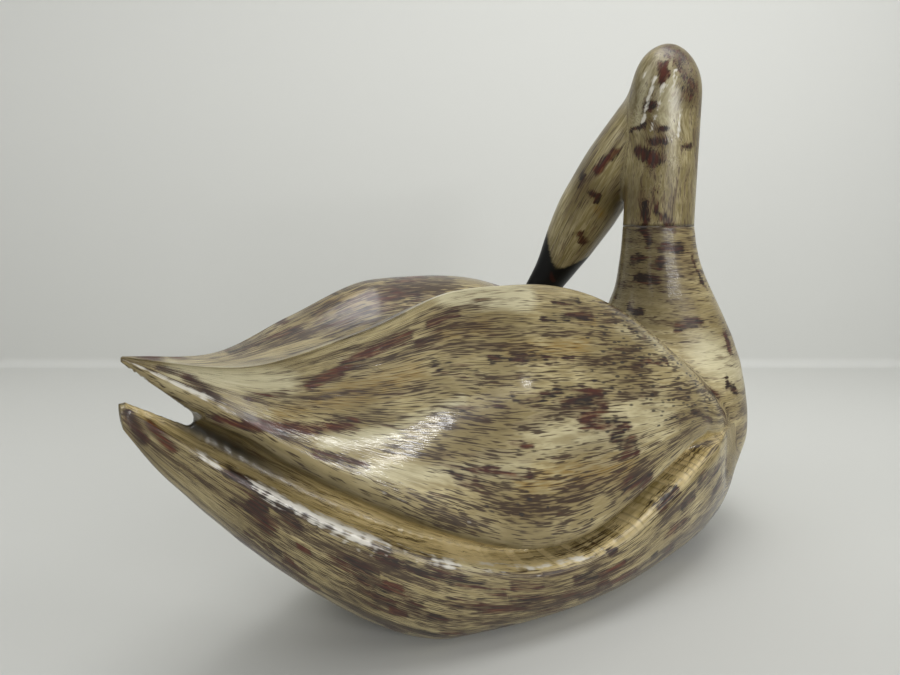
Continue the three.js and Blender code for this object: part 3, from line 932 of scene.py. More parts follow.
# %% Direction of the form
STEP = 0.01
rise = (lip_height(station + STEP) - lip_height(station - STEP)) * WING_HEIGHT
ahead_width = hull_half_width(np.clip(station + STEP, 0, 0.98))
spread = ahead_width - hull_half_width(np.clip(station - STEP, 0, 0.98))
forwards = np.full(len(body_co), 2 * STEP * BODY_LENGTH)
body_flow = np.stack([forwards, np.sign(body_co[:, 1]) * spread, rise], axis=1)
body_flow /= np.linalg.norm(body_flow, axis=1)[:, None]
near_hull = (from_valley > 0.181) & (body_co[:, 1] < 0) & (body_co[:, 2] > 4 * MM)
hull_side = near_hull & (station > 0.1) & (station < 0.85)
print("hull vertices for streaks:", int(hull_side.sum()))

# %% [markdown]
# ## The grain of the neck and head
# The second block has upright grain, with a little sway so that it isn't ruled. At the bend the brush
# went aslant over the top, and on the head it followed the middle line to the bill. Each vertex looks up
# the nearest place on that line.

# %% Places on the head
neck_co = vertex_array(neck)
along_share = np.linspace(0, 1, 201)
line = np.array([head_middle(q) for q in along_share])
nearest = np.argmin(((neck_co[:, None, :] - line[None, :, :]) ** 2).sum(axis=2), axis=1)
head_share = along_share[nearest]
axes = np.array([[list(v) for v in head_axes(q)] for q in along_share])[nearest]
off = neck_co - line[nearest]
off_across, off_away = np.sum(off * axes[:, 1], axis=1), np.sum(off * axes[:, 2], axis=1)
on_head = smoothstep(-1 * MM, 1 * MM, distance_to(neck_tree, neck_co) - distance_to(head_tree, neck_co))
head_length = np.linalg.norm(np.diff(line, axis=0), axis=1).sum()
print("head length", round(head_length, 4))

# %% Grain of the neck and head
HEAD_RADIUS = 20 * MM
SWAY_SCALE, SWAY = 14 * MM, 3 * MM
SLANT_LOW, SLANT_HIGH, BEND_HEIGHT = 272 * MM, 300 * MM, 0.27
round_off = HEAD_RADIUS / np.maximum(np.hypot(off_across, off_away), 1 * MM)
head_grain = np.stack([head_share * head_length, off_across * round_off, off_away * round_off])
off = neck_co - [neck_x, 0, BEND_HEIGHT]
sway = np.array([noise.noise(Vector(p)) for p in neck_co / SWAY_SCALE]) * SWAY
upright = np.stack([1.5 * off[:, 2], off[:, 0] + sway, off[:, 1] + sway])
slanted = np.stack([off @ [0.42, -0.31, 1.3], off @ [0.74, -0.56, -0.45], off @ [0.6, 0.8, 0]])
neck_grain = lerp(upright, slanted, smoothstep(SLANT_LOW, SLANT_HIGH, neck_co[:, 2]))
store(neck, "grain", *lerp(neck_grain, head_grain, on_head))
print("slanted at the bend:", int((neck_co[:, 2] > SLANT_HIGH).sum()), "vertices")

# %% [markdown]
# ## Where the bill starts
# The black is painted on the head and has no step in the wood. Its border has a notch at the forehead, so
# it starts later there than at the sides.

# %% Bill and seam
FOREHEAD = math.radians(-78)
BILL_START, NOTCH, BORDER = 0.787, 0.082, 0.006
turn = np.arctan2(off_away, off_across) - FOREHEAD
bill_start = BILL_START - NOTCH * np.sin(turn) ** 2
bill = smoothstep(-BORDER, BORDER, head_share - bill_start) * on_head
neck_seam = 1 - smoothstep(0, 1.8 * MM, neck_co[:, 2] - neck_bottom)
neck_seam = neck_seam * (neck_co[:, 1] < NECK_WIDTH / 2 + 1 * MM)
print("bill vertices:", int((bill > 0.5).sum()))

# %% [markdown]
# ## Where the paint is rubbed away
# The maker brushed cream paint over a dark brown ground and rubbed it back, so brown streaks and a few
# red-brown cores show. They are what one knows this very carving by, so each is placed as a start, an
# end and a half width in millimetres, with how brown it is and how red. Noise alone would give the
# kind but not the places. The material breaks each one up along the grain, so that its border is ragged.

# %% Streaks on the rear of the near wing
REAR_FLANK = [
    ((-203, -17, 132), (-176, -26, 127), 2.8, 0.9, 1.0),
    ((-176, -26, 127), (-163, -31, 124), 3.2, 1.0, 1.0),
    ((-163, -31, 124), (-146, -36, 125), 2.8, 0.9, 0.8),
    ((-190, -23, 141), (-165, -33, 145), 2.6, 0.5, 0.5),
    ((-165, -33, 145), (-142, -39, 157), 3.6, 0.9, 0.8),
    ((-142, -39, 157), (-119, -43, 165), 3.0, 0.9, 0.9),
    ((-108, -44, 170), (-92, -45, 174), 2.6, 0.8, 0.8),
    ((-106, -46, 150), (-82, -49, 144), 3.2, 0.6, 0.1),
    ((-114, -44, 160), (-102, -45, 164), 2.2, 0.8, 0.2),
    ((-97, -50, 125), (-66, -54, 122), 2.4, 0.6, 0.2),
    ((-165, -35, 115), (-144, -43, 107), 2.2, 0.8, 0.7), ((-103, -54, 95), (-89, -57, 91), 2.4, 0.7, 0.6),
    ((-223, -7, 157), (-212, -13, 153), 1.8, 0.9, 0.0),
    ((-213, -13, 152), (-203, -18, 143), 2.8, 1.0, 0.1), ((-102, 25, 176), (-81, 25, 178), 3.0, 0.8, 0.7),
    ((-185, 18, 156), (-146, 21, 163), 2.0, 0.6, 0.1),
    ((-155, -35, 166), (-122, -38, 176), 1.6, 0.7, 0.0), ((-84, 38, 183), (-56, 41, 186), 2.6, 0.7, 0.8),
    ((-130, 22, 168), (-75, 27, 177), 8.0, 0.5, 0.2),
]
print("rear flank:", len(REAR_FLANK), "streaks")

# %% Streaks on the front of the near wing
FRONT_FLANK = [
    ((-73, -50, 149), (-20, -55, 143), 2.3, 0.9, 0.6), ((-33, -57, 129), (-4, -61, 123), 3.4, 0.8, 0.3),
    ((-28, -57, 122), (-2, -60, 116), 3.6, 0.7, 0.2), ((-17, -62, 110), (12, -66, 103), 5.0, 0.9, 0.6),
    ((2, -67, 98), (17, -69, 94), 3.6, 0.8, 0.1), ((8, -67, 90), (18, -69, 87), 3.0, 0.7, 0.1),
    ((-64, -57, 106), (-53, -59, 103), 2.4, 0.8, 0.8), ((-101, -54, 96), (-58, -61, 89), 3.8, 0.7, 0.4),
    ((-82, -58, 92), (-66, -61, 89), 2.2, 0.9, 1.0), ((5, -72, 68), (27, -73, 71), 3.4, 0.7, 0.1),
    ((-38, -49, 167), (-1, -49, 166), 2.2, 0.8, 0.0), ((-29, -46, 175), (-8, -46, 175), 1.8, 0.8, 0.0),
    ((-61, -54, 128), (-31, -57, 126), 2.2, 0.6, 0.2), ((18, -58, 139), (57, -59, 135), 2.2, 0.7, 0.2),
    ((30, -51, 157), (43, -52, 152), 2.6, 0.7, 0.0), ((72, -69, 103), (93, -70, 93), 2.4, 0.7, 0.0),
    ((100, -60, 111), (114, -64, 102), 2.4, 0.6, 0.0),
]
print("front flank:", len(FRONT_FLANK), "streaks")

# %% Streaks on the hull
HULL_SIDE = [
    ((-199, -21, 109), (-182, -29, 95), 3.4, 1.2, 0.3), ((-193, -24, 94), (-186, -27, 82), 3.4, 1.0, 0.5),
    ((-183, -29, 92), (-175, -33, 82), 2.8, 1.0, 0.2), ((-180, -30, 94), (-167, -36, 83), 2.8, 1.0, 0.0),
    ((-165, -37, 82), (-149, -44, 74), 2.4, 0.8, 0.0), ((-145, -46, 69), (-137, -49, 63), 3.0, 0.8, 0.3),
    ((-114, -58, 48), (-81, -68, 33), 2.2, 1.0, 0.2), ((-38, -77, 30), (-20, -80, 28), 2.8, 0.9, 0.1),
    ((-14, -80, 39), (-9, -80, 39), 1.6, 1.2, 0.0), ((28, -80, 54), (46, -80, 61), 2.8, 0.8, 0.2),
    ((66, -81, 62), (97, -77, 62), 3.0, 0.7, 0.1), ((-236, -2, 138), (-231, -4, 126), 2.6, 1.0, 0.2),
    ((-228, -6, 133), (-221, -9, 121), 2.4, 0.8, 0.8), ((-195, -13, 74), (-171, -24, 51), 3.4, 0.5, 0.3),
    ((-162, -38, 64), (-123, -53, 33), 4.0, 0.5, 0.3), ((-109, -60, 34), (-44, -72, 13), 4.0, 0.4, 0.3),
    ((-48, -75, 21), (12, -80, 20), 3.0, 0.5, 0.1),
]
print("hull side:", len(HULL_SIDE), "streaks")

# %% Streaks on the breast, the neck and the head
BREAST_AND_NECK = [
    ((96, -5, 181), (102, -17, 178), 3.0, 1.0, 0.0), ((104, -33, 147), (121, -39, 150), 3.0, 0.7, 0.2),
    ((146, -45, 139), (145, -49, 130), 4.0, 0.9, 1.0), ((91, -4, 159), (92, -11, 157), 2.8, 1.0, 0.0),
    ((105, -18, 202), (118, -24, 200), 3.2, 0.8, 0.2), ((97, -1, 193), (104, -17, 192), 3.4, 1.0, 0.1),
    ((128, -26, 195), (140, -31, 173), 1.8, 0.8, 0.0), ((125, -61, 111), (132, -62, 106), 3.0, 0.7, 0.0),
    ((98, -6, 231), (99, -9, 204), 2.4, 0.9, 0.1), ((105, -17, 222), (112, -20, 214), 2.6, 0.7, 0.4),
    ((105, -11, 323), (103, -14, 311), 3.0, 1.0, 1.0), ((114, -11, 333), (121, -23, 302), 7.0, 0.45, 0.2),
    ((97, -2, 296), (100, -10, 295), 2.4, 1.0, 0.2), ((98, 5, 283), (97, -4, 282), 2.0, 0.9, 0.0),
    ((101, -12, 281), (105, -17, 280), 2.2, 1.0, 0.2), ((100, -10, 273), (104, -16, 272), 2.4, 0.9, 0.2),
    ((97, -2, 266), (101, -12, 259), 4.2, 0.9, 0.6), ((117, -23, 269), (124, -23, 270), 2.0, 0.9, 0.2),
    ((99, -14, 240), (103, -15, 224), 3.0, 0.6, 0.2), ((96, 19, 268), (93, 32, 256), 3.4, 0.8, 1.0),
    ((93, 37, 241), (95, 35, 236), 2.8, 0.9, 0.1), ((98, 52, 210), (102, 51, 205), 3.6, 0.8, 0.6),
    ((93, 45, 255), (92, 47, 247), 2.4, 0.8, 0.0), ((98, 82, 178), (100, 81, 173), 3.4, 0.6, 1.2),
]
print("breast, neck and head:", len(BREAST_AND_NECK), "streaks")

# %% [markdown]
# ## Spots, whiter paint, painted sheen and yellow glaze
# In some places the pores of the wood stayed open and show as small dark spots. In others the brush left
# more cream, and in a few a yellow ochre glaze shines through. Some of the whiter places are painted
# sheen and highlight. They are the same kind of soft line, with one value less or more.

# %% Open pores
SPECKLES = [
    ((-99, -58, 77), (-77, -62, 72), 5.0), ((-63, -63, 77), (-51, -66, 68), 4.5),
    ((-36, -70, 58), (-21, -72, 55), 3.0), ((-75, -62, 74), (-60, -64, 70), 3.0),
    ((150, -40, 80), (158, -36, 70), 4.0), ((20, -62, 118), (55, -67, 104), 12.0),
]
print("groups of open pores:", len(SPECKLES))

# %% Whiter brushwork and painted sheen, with how white it is
# Most are whiter brushwork. The two lines along the wing's groove, the breast and the upper neck are
# painted sheen, the crest is partly painted highlight, and the wide place on the front of the flank is
# painted light from the window.
PALE_AND_SHEEN = [
    ((-98, -41, 184), (-48, -44, 179), 9, 1.1), ((20, -52, 160), (60, -55, 143), 9, 0.35),
    ((120, -52, 130), (152, -38, 100), 24, 0.9), ((97, -4, 320), (96, 2, 285), 7, 0.6),
    ((104, -14, 325), (106, -16, 285), 12, 0.55), ((-45, -58, 105), (40, -66, 105), 24, 0.45),
    ((-160, -35, 118), (-126, -43, 119), 6, 1.0), ((-126, -43, 122), (-90, -48, 130), 4, 0.8),
    ((-145, -43, 103), (-60, -58, 90), 9, 0.8), ((-45, -63, 78), (18, -66, 90), 12, 0.4),
    ((-85, -56, 100), (-40, -60, 96), 8, 0.5), ((-216, -8, 154), (-175, -22, 147), 9, 0.8),
    ((-100, -60, 50), (-35, -78, 42), 8, 0.8),
]
print("whiter places:", len(PALE_AND_SHEEN))

# %% White strokes at the bend of the neck, and ochre glaze
WHITE_STROKES = [
    ((98, -4, 322), (95, 6, 300), 3.0), ((100, -9, 314), (97, -2, 286), 3.0),
    ((104, -14, 308), (100, -8, 280), 3.4), ((109, -18, 318), (106, -15, 284), 3.0),
    ((114, -20, 302), (112, -20, 276), 3.0),
]
OCHRE = [
    ((-178, -28, 133), (-157, -36, 138), 5), ((-157, -36, 138), (-117, -45, 146), 8),
    ((-100, -46, 165), (-76, -47, 166), 5.0), ((-60, -51, 152), (-10, -53, 150), 6.0),
    ((-10, -50, 165), (0, -49, 163), 3.0), ((99, 36, 229), (103, 35, 223), 3.5),
    ((-120, 30, 172), (-60, 32, 182), 7.0), ((-60, -62, 84), (10, -70, 80), 9.0),
]
print("ochre places:", len(OCHRE))

# %% [markdown]
# ## From streaks to values on the vertices
# The left side doesn't show, and gets streaks of the same kind at random places. So does the hull between
# the placed ones, with narrower ones. On the stump and the neck the marks are torn rather than brushed,
# so there each place is moved about by slow noise before it is measured.

# %% Streaks at random places
def random_streaks(co, chosen, count, flow, widths, rng):
    """Streaks of the placed kind at random vertices out of the chosen ones, each along the flow there."""
    streaks = []
    for n in rng.choice(np.flatnonzero(chosen), count, replace=False):
        half = flow[n] * rng.uniform(5, 24) / 2
        start, end = co[n] / MM - half, co[n] / MM + half
        streaks.append((start, end, rng.uniform(*widths), rng.uniform(0.5, 1), rng.uniform(-0.6, 1)))
    return streaks


# %% Lines at each vertex
def strongest(co, lines):
    """The strongest of several plain lines at each vertex."""
    return np.max([envelope(co, *line) for line in lines], axis=0)


def gather(co, streaks):
    """The strongest brown and red of all streaks at each vertex."""
    brown, red = np.zeros(len(co)), np.zeros(len(co))
    for start, end, half_width, how_brown, how_red in streaks:
        soft = envelope(co, start, end, half_width)
        brown = np.maximum(brown, soft * how_brown)
        red = np.maximum(red, soft * how_red)
    return brown, red


def brushwork_and_sheen(co):
    """How white the brushwork and the painted sheen are at each vertex."""
    return np.max([envelope(co, *line) * how_white for *line, how_white in PALE_AND_SHEEN], axis=0)


def frayed(co, share):
    """Places moved about by slow noise, by a share of 0 to 1, to tear the border of a mark."""
    scale, reach = 6 * MM, 3.5 * MM
    shift = np.array([list(noise.noise_vector(Vector(p))) for p in co / scale]) * reach
    return co + shift * np.broadcast_to(share, len(co))[:, None]


print("body vertices in ochre:", int((strongest(body_co, OCHRE) > 0.5).sum()))

# %% Marks of the body
NECK_MARK_WIDTH, NECK_MARK_BROWN = 1.15, 1.45
WIDE_STREAKS, NARROW_STREAKS = (1.4, 3.6), (0.8, 1.7)
streak_rng = np.random.default_rng(11)
# the vector noise in frayed starts from the clock unless it is given a seed
noise.seed_set(11)
placed = REAR_FLANK + FRONT_FLANK + HULL_SIDE
for start, end, half_width, how_brown, how_red in BREAST_AND_NECK:
    width, brown = NECK_MARK_WIDTH * half_width, NECK_MARK_BROWN * how_brown
    placed.append((start, end, width, brown, how_red))
hidden = random_streaks(body_co, body_co[:, 1] > 5 * MM, 60, body_flow, WIDE_STREAKS, streak_rng)
hidden += random_streaks(body_co, hull_side, 60, body_flow, NARROW_STREAKS, streak_rng)
brown, red = gather(frayed(body_co, on_trunk), placed + hidden)
print("streaks on the body:", len(placed) + len(hidden))

# %% Pores, glaze and whiteness of the body
porous = smoothstep(-20 * MM, 10 * MM, body_co[:, 0]) * smoothstep(90 * MM, 110 * MM, body_co[:, 2])
speckle = np.maximum(strongest(body_co, SPECKLES), 0.78 * porous) * off_trunk - on_trunk
# the painted shade of the crease goes in with the brown value
store(body, "marks", np.maximum(brown, 0.2 * painted_crease_shade), red, speckle)
# the third value on the body is painted shade, the gouge borders and the dark seam
store(body, "glaze", strongest(body_co, OCHRE), body_edge, painted_shade_and_seam)
# painted shade: darker towards the floor, and more so towards the breast, taken off the whiteness
below = smoothstep(100 * MM, 60 * MM, body_co[:, 2] + 0.25 * body_co[:, 0])
painted_low_shade = (0.25 + 0.4 * smoothstep(60 * MM, 100 * MM, body_co[:, 0])) * below * (1 - channel)
store(body, "place", channel, 0, brushwork_and_sheen(body_co) - painted_low_shade + cut_tone)
print("most white:", round(float(brushwork_and_sheen(body_co).max()), 2))

# %% Marks of the neck and head
unseen = normal_array(neck)[:, 0] > 0.2
upwards = np.tile([0, 0.1, 1], (len(neck_co), 1))
hidden = random_streaks(neck_co, unseen, 14, upwards, WIDE_STREAKS, streak_rng)
brown, red = gather(frayed(neck_co, 1), placed + hidden)
store(neck, "marks", brown, red, -1)
strokes = 0.88 * strongest(neck_co, WHITE_STROKES)
store(neck, "glaze", strongest(neck_co, OCHRE), strokes, 0.55 * neck_seam)
store(neck, "place", 0, bill, brushwork_and_sheen(neck_co))
print("streaks on the neck and head:", len(placed) + len(hidden))

# %% [markdown]
# ## The paint
# The real finish is oil paint on wood, made to look old. From the wood outwards it is a dark brown
# ground, cream paint brushed along the grain, a thin ochre glaze in places, then sanding that bares the
# brown in fine lines and the pale ground coat on every edge, and a satin varnish. It could be a painted
# picture on a UV map. Noise that follows the grain has no seams instead and stays sharp close up. Each
# layer is one function that takes the colour so far and gives it back with the layer on it.


# %% A hex colour made linear
def linear(code):
    """A hex sRGB colour as linear RGBA."""
    parts = [int(code[i:i + 2], 16) / 255 for i in (1, 3, 5)]
    return [p / 12.92 if p <= 0.04045 else ((p + 0.055) / 1.055) ** 2.4 for p in parts] + [1]


print("cream, linear:", [round(part, 3) for part in linear("#C3B588")])


# %% One function for any node
def add_node(tree, kind, settings, inputs):
    """Adds a node with its settings, fills or links its inputs and gives its outputs."""
    made = tree.nodes.new("ShaderNode" + kind)
    for name, value in settings.items():
        setattr(made, name, value)
    for key, value in inputs.items():
        if isinstance(value, bpy.types.NodeSocket):
            tree.links.new(value, made.inputs[key])
        else:
            made.inputs[key].default_value = value
    return made.outputs


TIMES, PLUS, LARGER = {"operation": "MULTIPLY"}, {"operation": "ADD"}, {"operation": "MAXIMUM"}
TIMES_PLUS = {"operation": "MULTIPLY_ADD"}
COLOURS = {"data_type": "RGBA"}

# %% [markdown]
# ## Lines along the grain
# Brushing and sanding leave lines along the grain. Noise gives them when its place is squeezed across the
# grain and drawn out along it, by real widths and lengths. The finest lines of the real one are about a
# tenth of a millimetre wide. They are drawn 0.4 mm wide here, about one pixel, because finer ones
# wouldn't show.

# %% Noise drawn out along the grain
ZONES = {
    "place": ("channel", "bill", "pale"),
    "marks": ("brown", "red", "speckle"),
    # on the body the dark value is mostly painted shade, on the neck it is the seam
    "glaze": ("ochre", "edge", "dark"),
}


def streaks(tree, grain, across, along, detail):
    """Noise in lines about as wide as across and as long as along (metres), along the local grain."""
    size = (1 / along, 1 / across, 1 / across)
    drawn = add_node(tree, "VectorMath", TIMES, {0: grain, 1: size})[0]
    inputs = {"Vector": drawn, "Scale": 1.0, "Detail": detail, "Roughness": 0.6}
    return add_node(tree, "TexNoise", {}, inputs)[0]


def read_values(tree):
    """The values stored on the vertices and the noises, by name."""
    at = {}
    for attribute, parts in ZONES.items():
        vector = add_node(tree, "Attribute", {"attribute_name": attribute}, {})["Vector"]
        at.update(zip(parts, add_node(tree, "SeparateXYZ", {}, {0: vector})))
    at["grain"] = add_node(tree, "Attribute", {"attribute_name": "grain"}, {})["Vector"]
    at["fine"] = streaks(tree, at["grain"], 0.4 * MM, 14 * MM, 0.5)
    at["dashes"] = streaks(tree, at["grain"], 0.7 * MM, 11 * MM, 1.0)
    at["medium"] = streaks(tree, at["grain"], 2.0 * MM, 17 * MM, 2.0)
    at["broad"] = streaks(tree, at["grain"], 9 * MM, 60 * MM, 1.0)
    place = add_node(tree, "TexCoord", {}, {})["Object"]
    for name, size in (("blotches", 5 * MM), ("patches", 45 * MM)):
        inputs = {"Vector": place, "Scale": 1 / size, "Detail": 1.0}
        at[name] = add_node(tree, "TexNoise", {}, inputs)[0]
    return at


print("values on each vertex:", [part for parts in ZONES.values() for part in parts])

# %% [markdown]
# ## Cream paint, ochre glaze, whiter brushwork and painted sheen
# The cream is uneven: paler where the brush left more, darker where a hand has rubbed. The ochre glaze
# lies in the brush lines, so fine lines show in it. A chalky white comes last, as whiter brushwork and as
# painted sheen and highlight.


# %% Cream, ochre and white
def cream_coat(tree, at, cream, cream_pale, cream_worn):
    """The brushed coats: cream in three tones, then ochre, then the whiter strokes and the painted sheen.
    """
    mask = add_node(tree, "MapRange", {}, {"Value": at["medium"], "From Min": 0.4, "From Max": 0.64})[0]
    colour = add_node(tree, "Mix", COLOURS, {0: mask, 6: linear(cream), 7: linear(cream_pale)})[2]
    worn = {"Value": at["patches"], "From Min": 0.4, "From Max": 0.65, "To Max": 0.75}
    mask = add_node(tree, "MapRange", {}, worn)[0]
    colour = add_node(tree, "Mix", COLOURS, {0: mask, 6: colour, 7: linear(cream_worn)})[2]
    lines = {"Value": at["fine"], "From Min": 0.3, "From Max": 0.6, "To Max": 0.8}
    mask = add_node(tree, "MapRange", {}, lines)[0]
    mask = add_node(tree, "Math", TIMES, {0: mask, 1: at["ochre"]})[0]
    colour = add_node(tree, "Mix", COLOURS, {0: mask, 6: colour, 7: linear("#86651A")})[2]
    # chalky white: whiter brushwork, and painted sheen and highlight
    pale = add_node(tree, "Math", TIMES_PLUS, {0: at["medium"], 1: 0.7, 2: at["pale"]})[0]
    chalk = {"Value": pale, "From Min": 0.5, "From Max": 1.1, "To Max": 0.7}
    mask = add_node(tree, "MapRange", {}, chalk)[0]
    return add_node(tree, "Mix", COLOURS, {0: mask, 6: colour, 7: linear("#CFC8A6")})[2]


# %% [markdown]
# ## The brown veil
# Where the cream was rubbed thin, the ground tints it in bands along the grain, without being bare. The
# bands gather at the placed streaks and keep away from the channel, the whiter brushwork and the painted
# sheen.


# %% The brown veil
def brown_veil(tree, at, colour):
    """The ground shining through thin cream, in bands."""
    bands = add_node(tree, "Math", TIMES_PLUS, {0: at["medium"], 1: 0.9, 2: at["broad"]})[0]
    for name, weight in (("brown", 0.3), ("channel", -0.15), ("pale", -0.1)):
        bands = add_node(tree, "Math", TIMES_PLUS, {0: at[name], 1: weight, 2: bands})[0]
    at["bands"] = bands
    thin = {"Value": bands, "From Min": 0.95, "From Max": 1.12, "To Max": 0.62}
    mask = add_node(tree, "MapRange", {}, thin)[0]
    return add_node(tree, "Mix", COLOURS, {0: mask, 6: colour, 7: linear("#5C4629")})[2]


# %% [markdown]
# ## The channel
# The gouged channel kept more of the yellow glaze and reads as old gold. Each gouge cut has a tone of its
# own. Last the colour goes near black by the dark value: painted shade in the depth of the channel, below
# the rim and on the back of the stump, darker gouge borders and the dark seam.


# %% The channel's gold and dirt
def channel_gold(tree, at, colour):
    """Yellow glaze in the channel, then painted shade and the dark seam."""
    worn = add_node(tree, "Math", TIMES_PLUS, {0: at["pale"], 1: -0.45, 2: at["medium"]})[0]
    mask = add_node(tree, "MapRange", {}, {"Value": worn, "From Min": 0.36, "From Max": 0.66})[0]
    gold = add_node(tree, "Mix", COLOURS, {0: mask, 6: linear("#D8C38E"), 7: linear("#A28E56")})[2]
    mask = add_node(tree, "Math", TIMES, {0: at["channel"], 1: 0.85})[0]
    colour = add_node(tree, "Mix", COLOURS, {0: mask, 6: colour, 7: gold})[2]
    # near black: painted shade, darker gouge borders and the dark seam
    return add_node(tree, "Mix", COLOURS, {0: at["dark"], 6: colour, 7: linear("#1F1A0D")})[2]


# %% [markdown]
# ## Sanding lines
# Sanding along the grain cuts through the cream in thin dark lines, and in short torn dashes where the
# veil is thin. On the neck there are fewer lines.


# %% Sanding lines
def sanding_lines(tree, at, colour, strength):
    """Thin dark lines and torn dashes along the grain."""
    reach = {"To Max": strength}
    cut = add_node(tree, "Math", TIMES_PLUS, {0: at["bands"], 1: 0.42, 2: at["fine"]})[0]
    cut = add_node(tree, "Math", TIMES_PLUS, {0: at["pale"], 1: -0.08, 2: cut})[0]
    lines = add_node(tree, "MapRange", {}, {"Value": cut, "From Min": 0.92, "From Max": 1.03, **reach})[0]
    fewer = {"Value": at["speckle"], "From Min": -1, "From Max": 0, "To Min": 0.4}
    calm = add_node(tree, "MapRange", {}, fewer)[0]
    lines = add_node(tree, "Math", TIMES, {0: lines, 1: calm})[0]
    torn = add_node(tree, "Math", TIMES_PLUS, {0: at["bands"], 1: 0.6, 2: at["dashes"]})[0]
    torn = add_node(tree, "Math", TIMES_PLUS, {0: at["pale"], 1: -0.1, 2: torn})[0]
    torn = add_node(tree, "MapRange", {}, {"Value": torn, "From Min": 1.13, "From Max": 1.27, **reach})[0]
    lines = add_node(tree, "Math", LARGER, {0: lines, 1: torn})[0]
    return add_node(tree, "Mix", COLOURS, {0: lines, 6: colour, 7: linear("#301D0D")})[2]


# %% [markdown]
# ## Bare streaks
# In the placed streaks the paint is rubbed through. Around each one lies a brown wash, and its core is
# bare: nearly black brown, and red-brown in the middle of some. Dashes and blotches tear the border of
# the core. The more ragged it is, the more the dashes count.


# %% Bare streaks
def bare_streaks(tree, at, colour, ragged):
    """A wash of brown around each placed streak, and its bare core."""
    redness = add_node(tree, "Math", TIMES_PLUS, {0: at["red"], 1: 0.3, 2: at["medium"]})[0]
    redness = add_node(tree, "MapRange", {}, {"Value": redness, "From Min": 0.5, "From Max": 0.85})[0]
    thin = add_node(tree, "Math", TIMES_PLUS, {0: at["brown"], 1: 0.8, 2: at["medium"]})[0]
    around = {"Value": thin, "From Min": 0.62, "From Max": 1.1, "To Max": 0.66}
    mask = add_node(tree, "MapRange", {}, around)[0]
    wash = add_node(tree, "Mix", COLOURS, {0: redness, 6: linear("#40301E"), 7: linear("#703008")})[2]
    colour = add_node(tree, "Mix", COLOURS, {0: mask, 6: colour, 7: wash})[2]
    medium_counts, brown_counts, noise_middle, soft = 0.8, 0.7, 0.5, 0.4
    core = add_node(tree, "Math", TIMES_PLUS, {0: at["dashes"], 1: ragged, 2: at["blotches"]})[0]
    core = add_node(tree, "Math", TIMES_PLUS, {0: at["medium"], 1: medium_counts, 2: core})[0]
    core = add_node(tree, "Math", TIMES_PLUS, {0: at["brown"], 1: brown_counts, 2: core})[0]
    bare_from = noise_middle * (ragged + 1 + medium_counts) + 0.2
    bare = {"Value": core, "From Min": bare_from, "From Max": bare_from + soft}
    core = add_node(tree, "MapRange", {}, bare)[0]
    near = add_node(tree, "MapRange", {}, {"Value": at["brown"], "From Min": 0.03, "From Max": 0.2})[0]
    at["core"] = add_node(tree, "Math", TIMES, {0: core, 1: near})[0]
    ground = add_node(tree, "Mix", COLOURS, {0: redness, 6: linear("#1E1207"), 7: linear("#4A1A04")})[2]
    return add_node(tree, "Mix", COLOURS, {0: at["core"], 6: colour, 7: ground})[2]


# %% [markdown]
# ## Open pores
# Where the grain runs out of the surface, the pores of the wood stay open as dark dashes 2 to 3 mm long.
# They are cells drawn out along the grain, and a cell has a pore only where its own random number passes
# a limit, so that they come in groups.


# %% Open pores
def open_pores(tree, at, colour):
    """Short dark pores, in groups where the speckle value is high."""
    cells = (1 / (6.5 * MM), 1 / (1.6 * MM), 1 / (1.6 * MM))
    pore_place = add_node(tree, "VectorMath", TIMES, {0: at["grain"], 1: cells})[0]
    pore = add_node(tree, "TexVoronoi", {}, {"Vector": pore_place, "Scale": 1.0})
    chance = add_node(tree, "SeparateColor", {}, {0: pore["Color"]})[0]
    crowd = add_node(tree, "MapRange", {}, {"Value": at["patches"], "From Min": 0.3, "From Max": 0.55})[0]
    chance = add_node(tree, "Math", TIMES_PLUS, {0: crowd, 1: at["speckle"], 2: chance})[0]
    there = {"Value": chance, "From Min": 0.95, "From Max": 1.05, "To Max": 0.85}
    mask = add_node(tree, "MapRange", {}, there)[0]
    middle = {"Value": pore["Distance"], "From Min": 0.36, "From Max": 0.2}
    hole = add_node(tree, "MapRange", {}, middle)[0]
    mask = add_node(tree, "Math", TIMES, {0: mask, 1: hole})[0]
    return add_node(tree, "Mix", COLOURS, {0: mask, 6: colour, 7: linear("#241D1A")})[2]


# %% [markdown]
# ## White edges and the black bill
# Edges are rubbed down to the white ground coat, in a broken line because the coat is uneven. The bill is
# painted black over everything, with a little red-brown left at the notch of the forehead.


# %% White edges and black bill
def white_edges(tree, at, colour):
    """The white ground coat on worn edges and in the strokes at the bend."""
    rubbed = add_node(tree, "Math", TIMES_PLUS, {0: at["blotches"], 1: 0.9, 2: at["edge"]})[0]
    rubbed = add_node(tree, "Math", PLUS, {0: at["medium"], 1: rubbed})[0]
    bare = {"Value": rubbed, "From Min": 1.5, "From Max": 1.75, "To Max": 0.85}
    mask = add_node(tree, "MapRange", {}, bare)[0]
    return add_node(tree, "Mix", COLOURS, {0: mask, 6: colour, 7: linear("#DCD8CB")})[2]


def black_bill(tree, at, colour):
    """Black paint on the bill."""
    mask = add_node(tree, "MapRange", {}, {"Value": at["red"], "From Min": 0.5, "From Max": 1.0})[0]
    black = add_node(tree, "Mix", COLOURS, {0: mask, 6: linear("#070606"), 7: linear("#2E0D07")})[2]
    return add_node(tree, "Mix", COLOURS, {0: at["bill"], 6: colour, 7: black})[2]


# %% [markdown]
# ## Satin varnish
# A clear varnish lies over the paint, with the usual IOR of 1.5. To the eye it gives the soft bright
# patches on the flank and the lip. It is thinner in the channel and on the neck, where it was rubbed off,
# and the bill has hardly any. Bared wood is a little rougher than paint, and every brush line is a
# shallow groove.


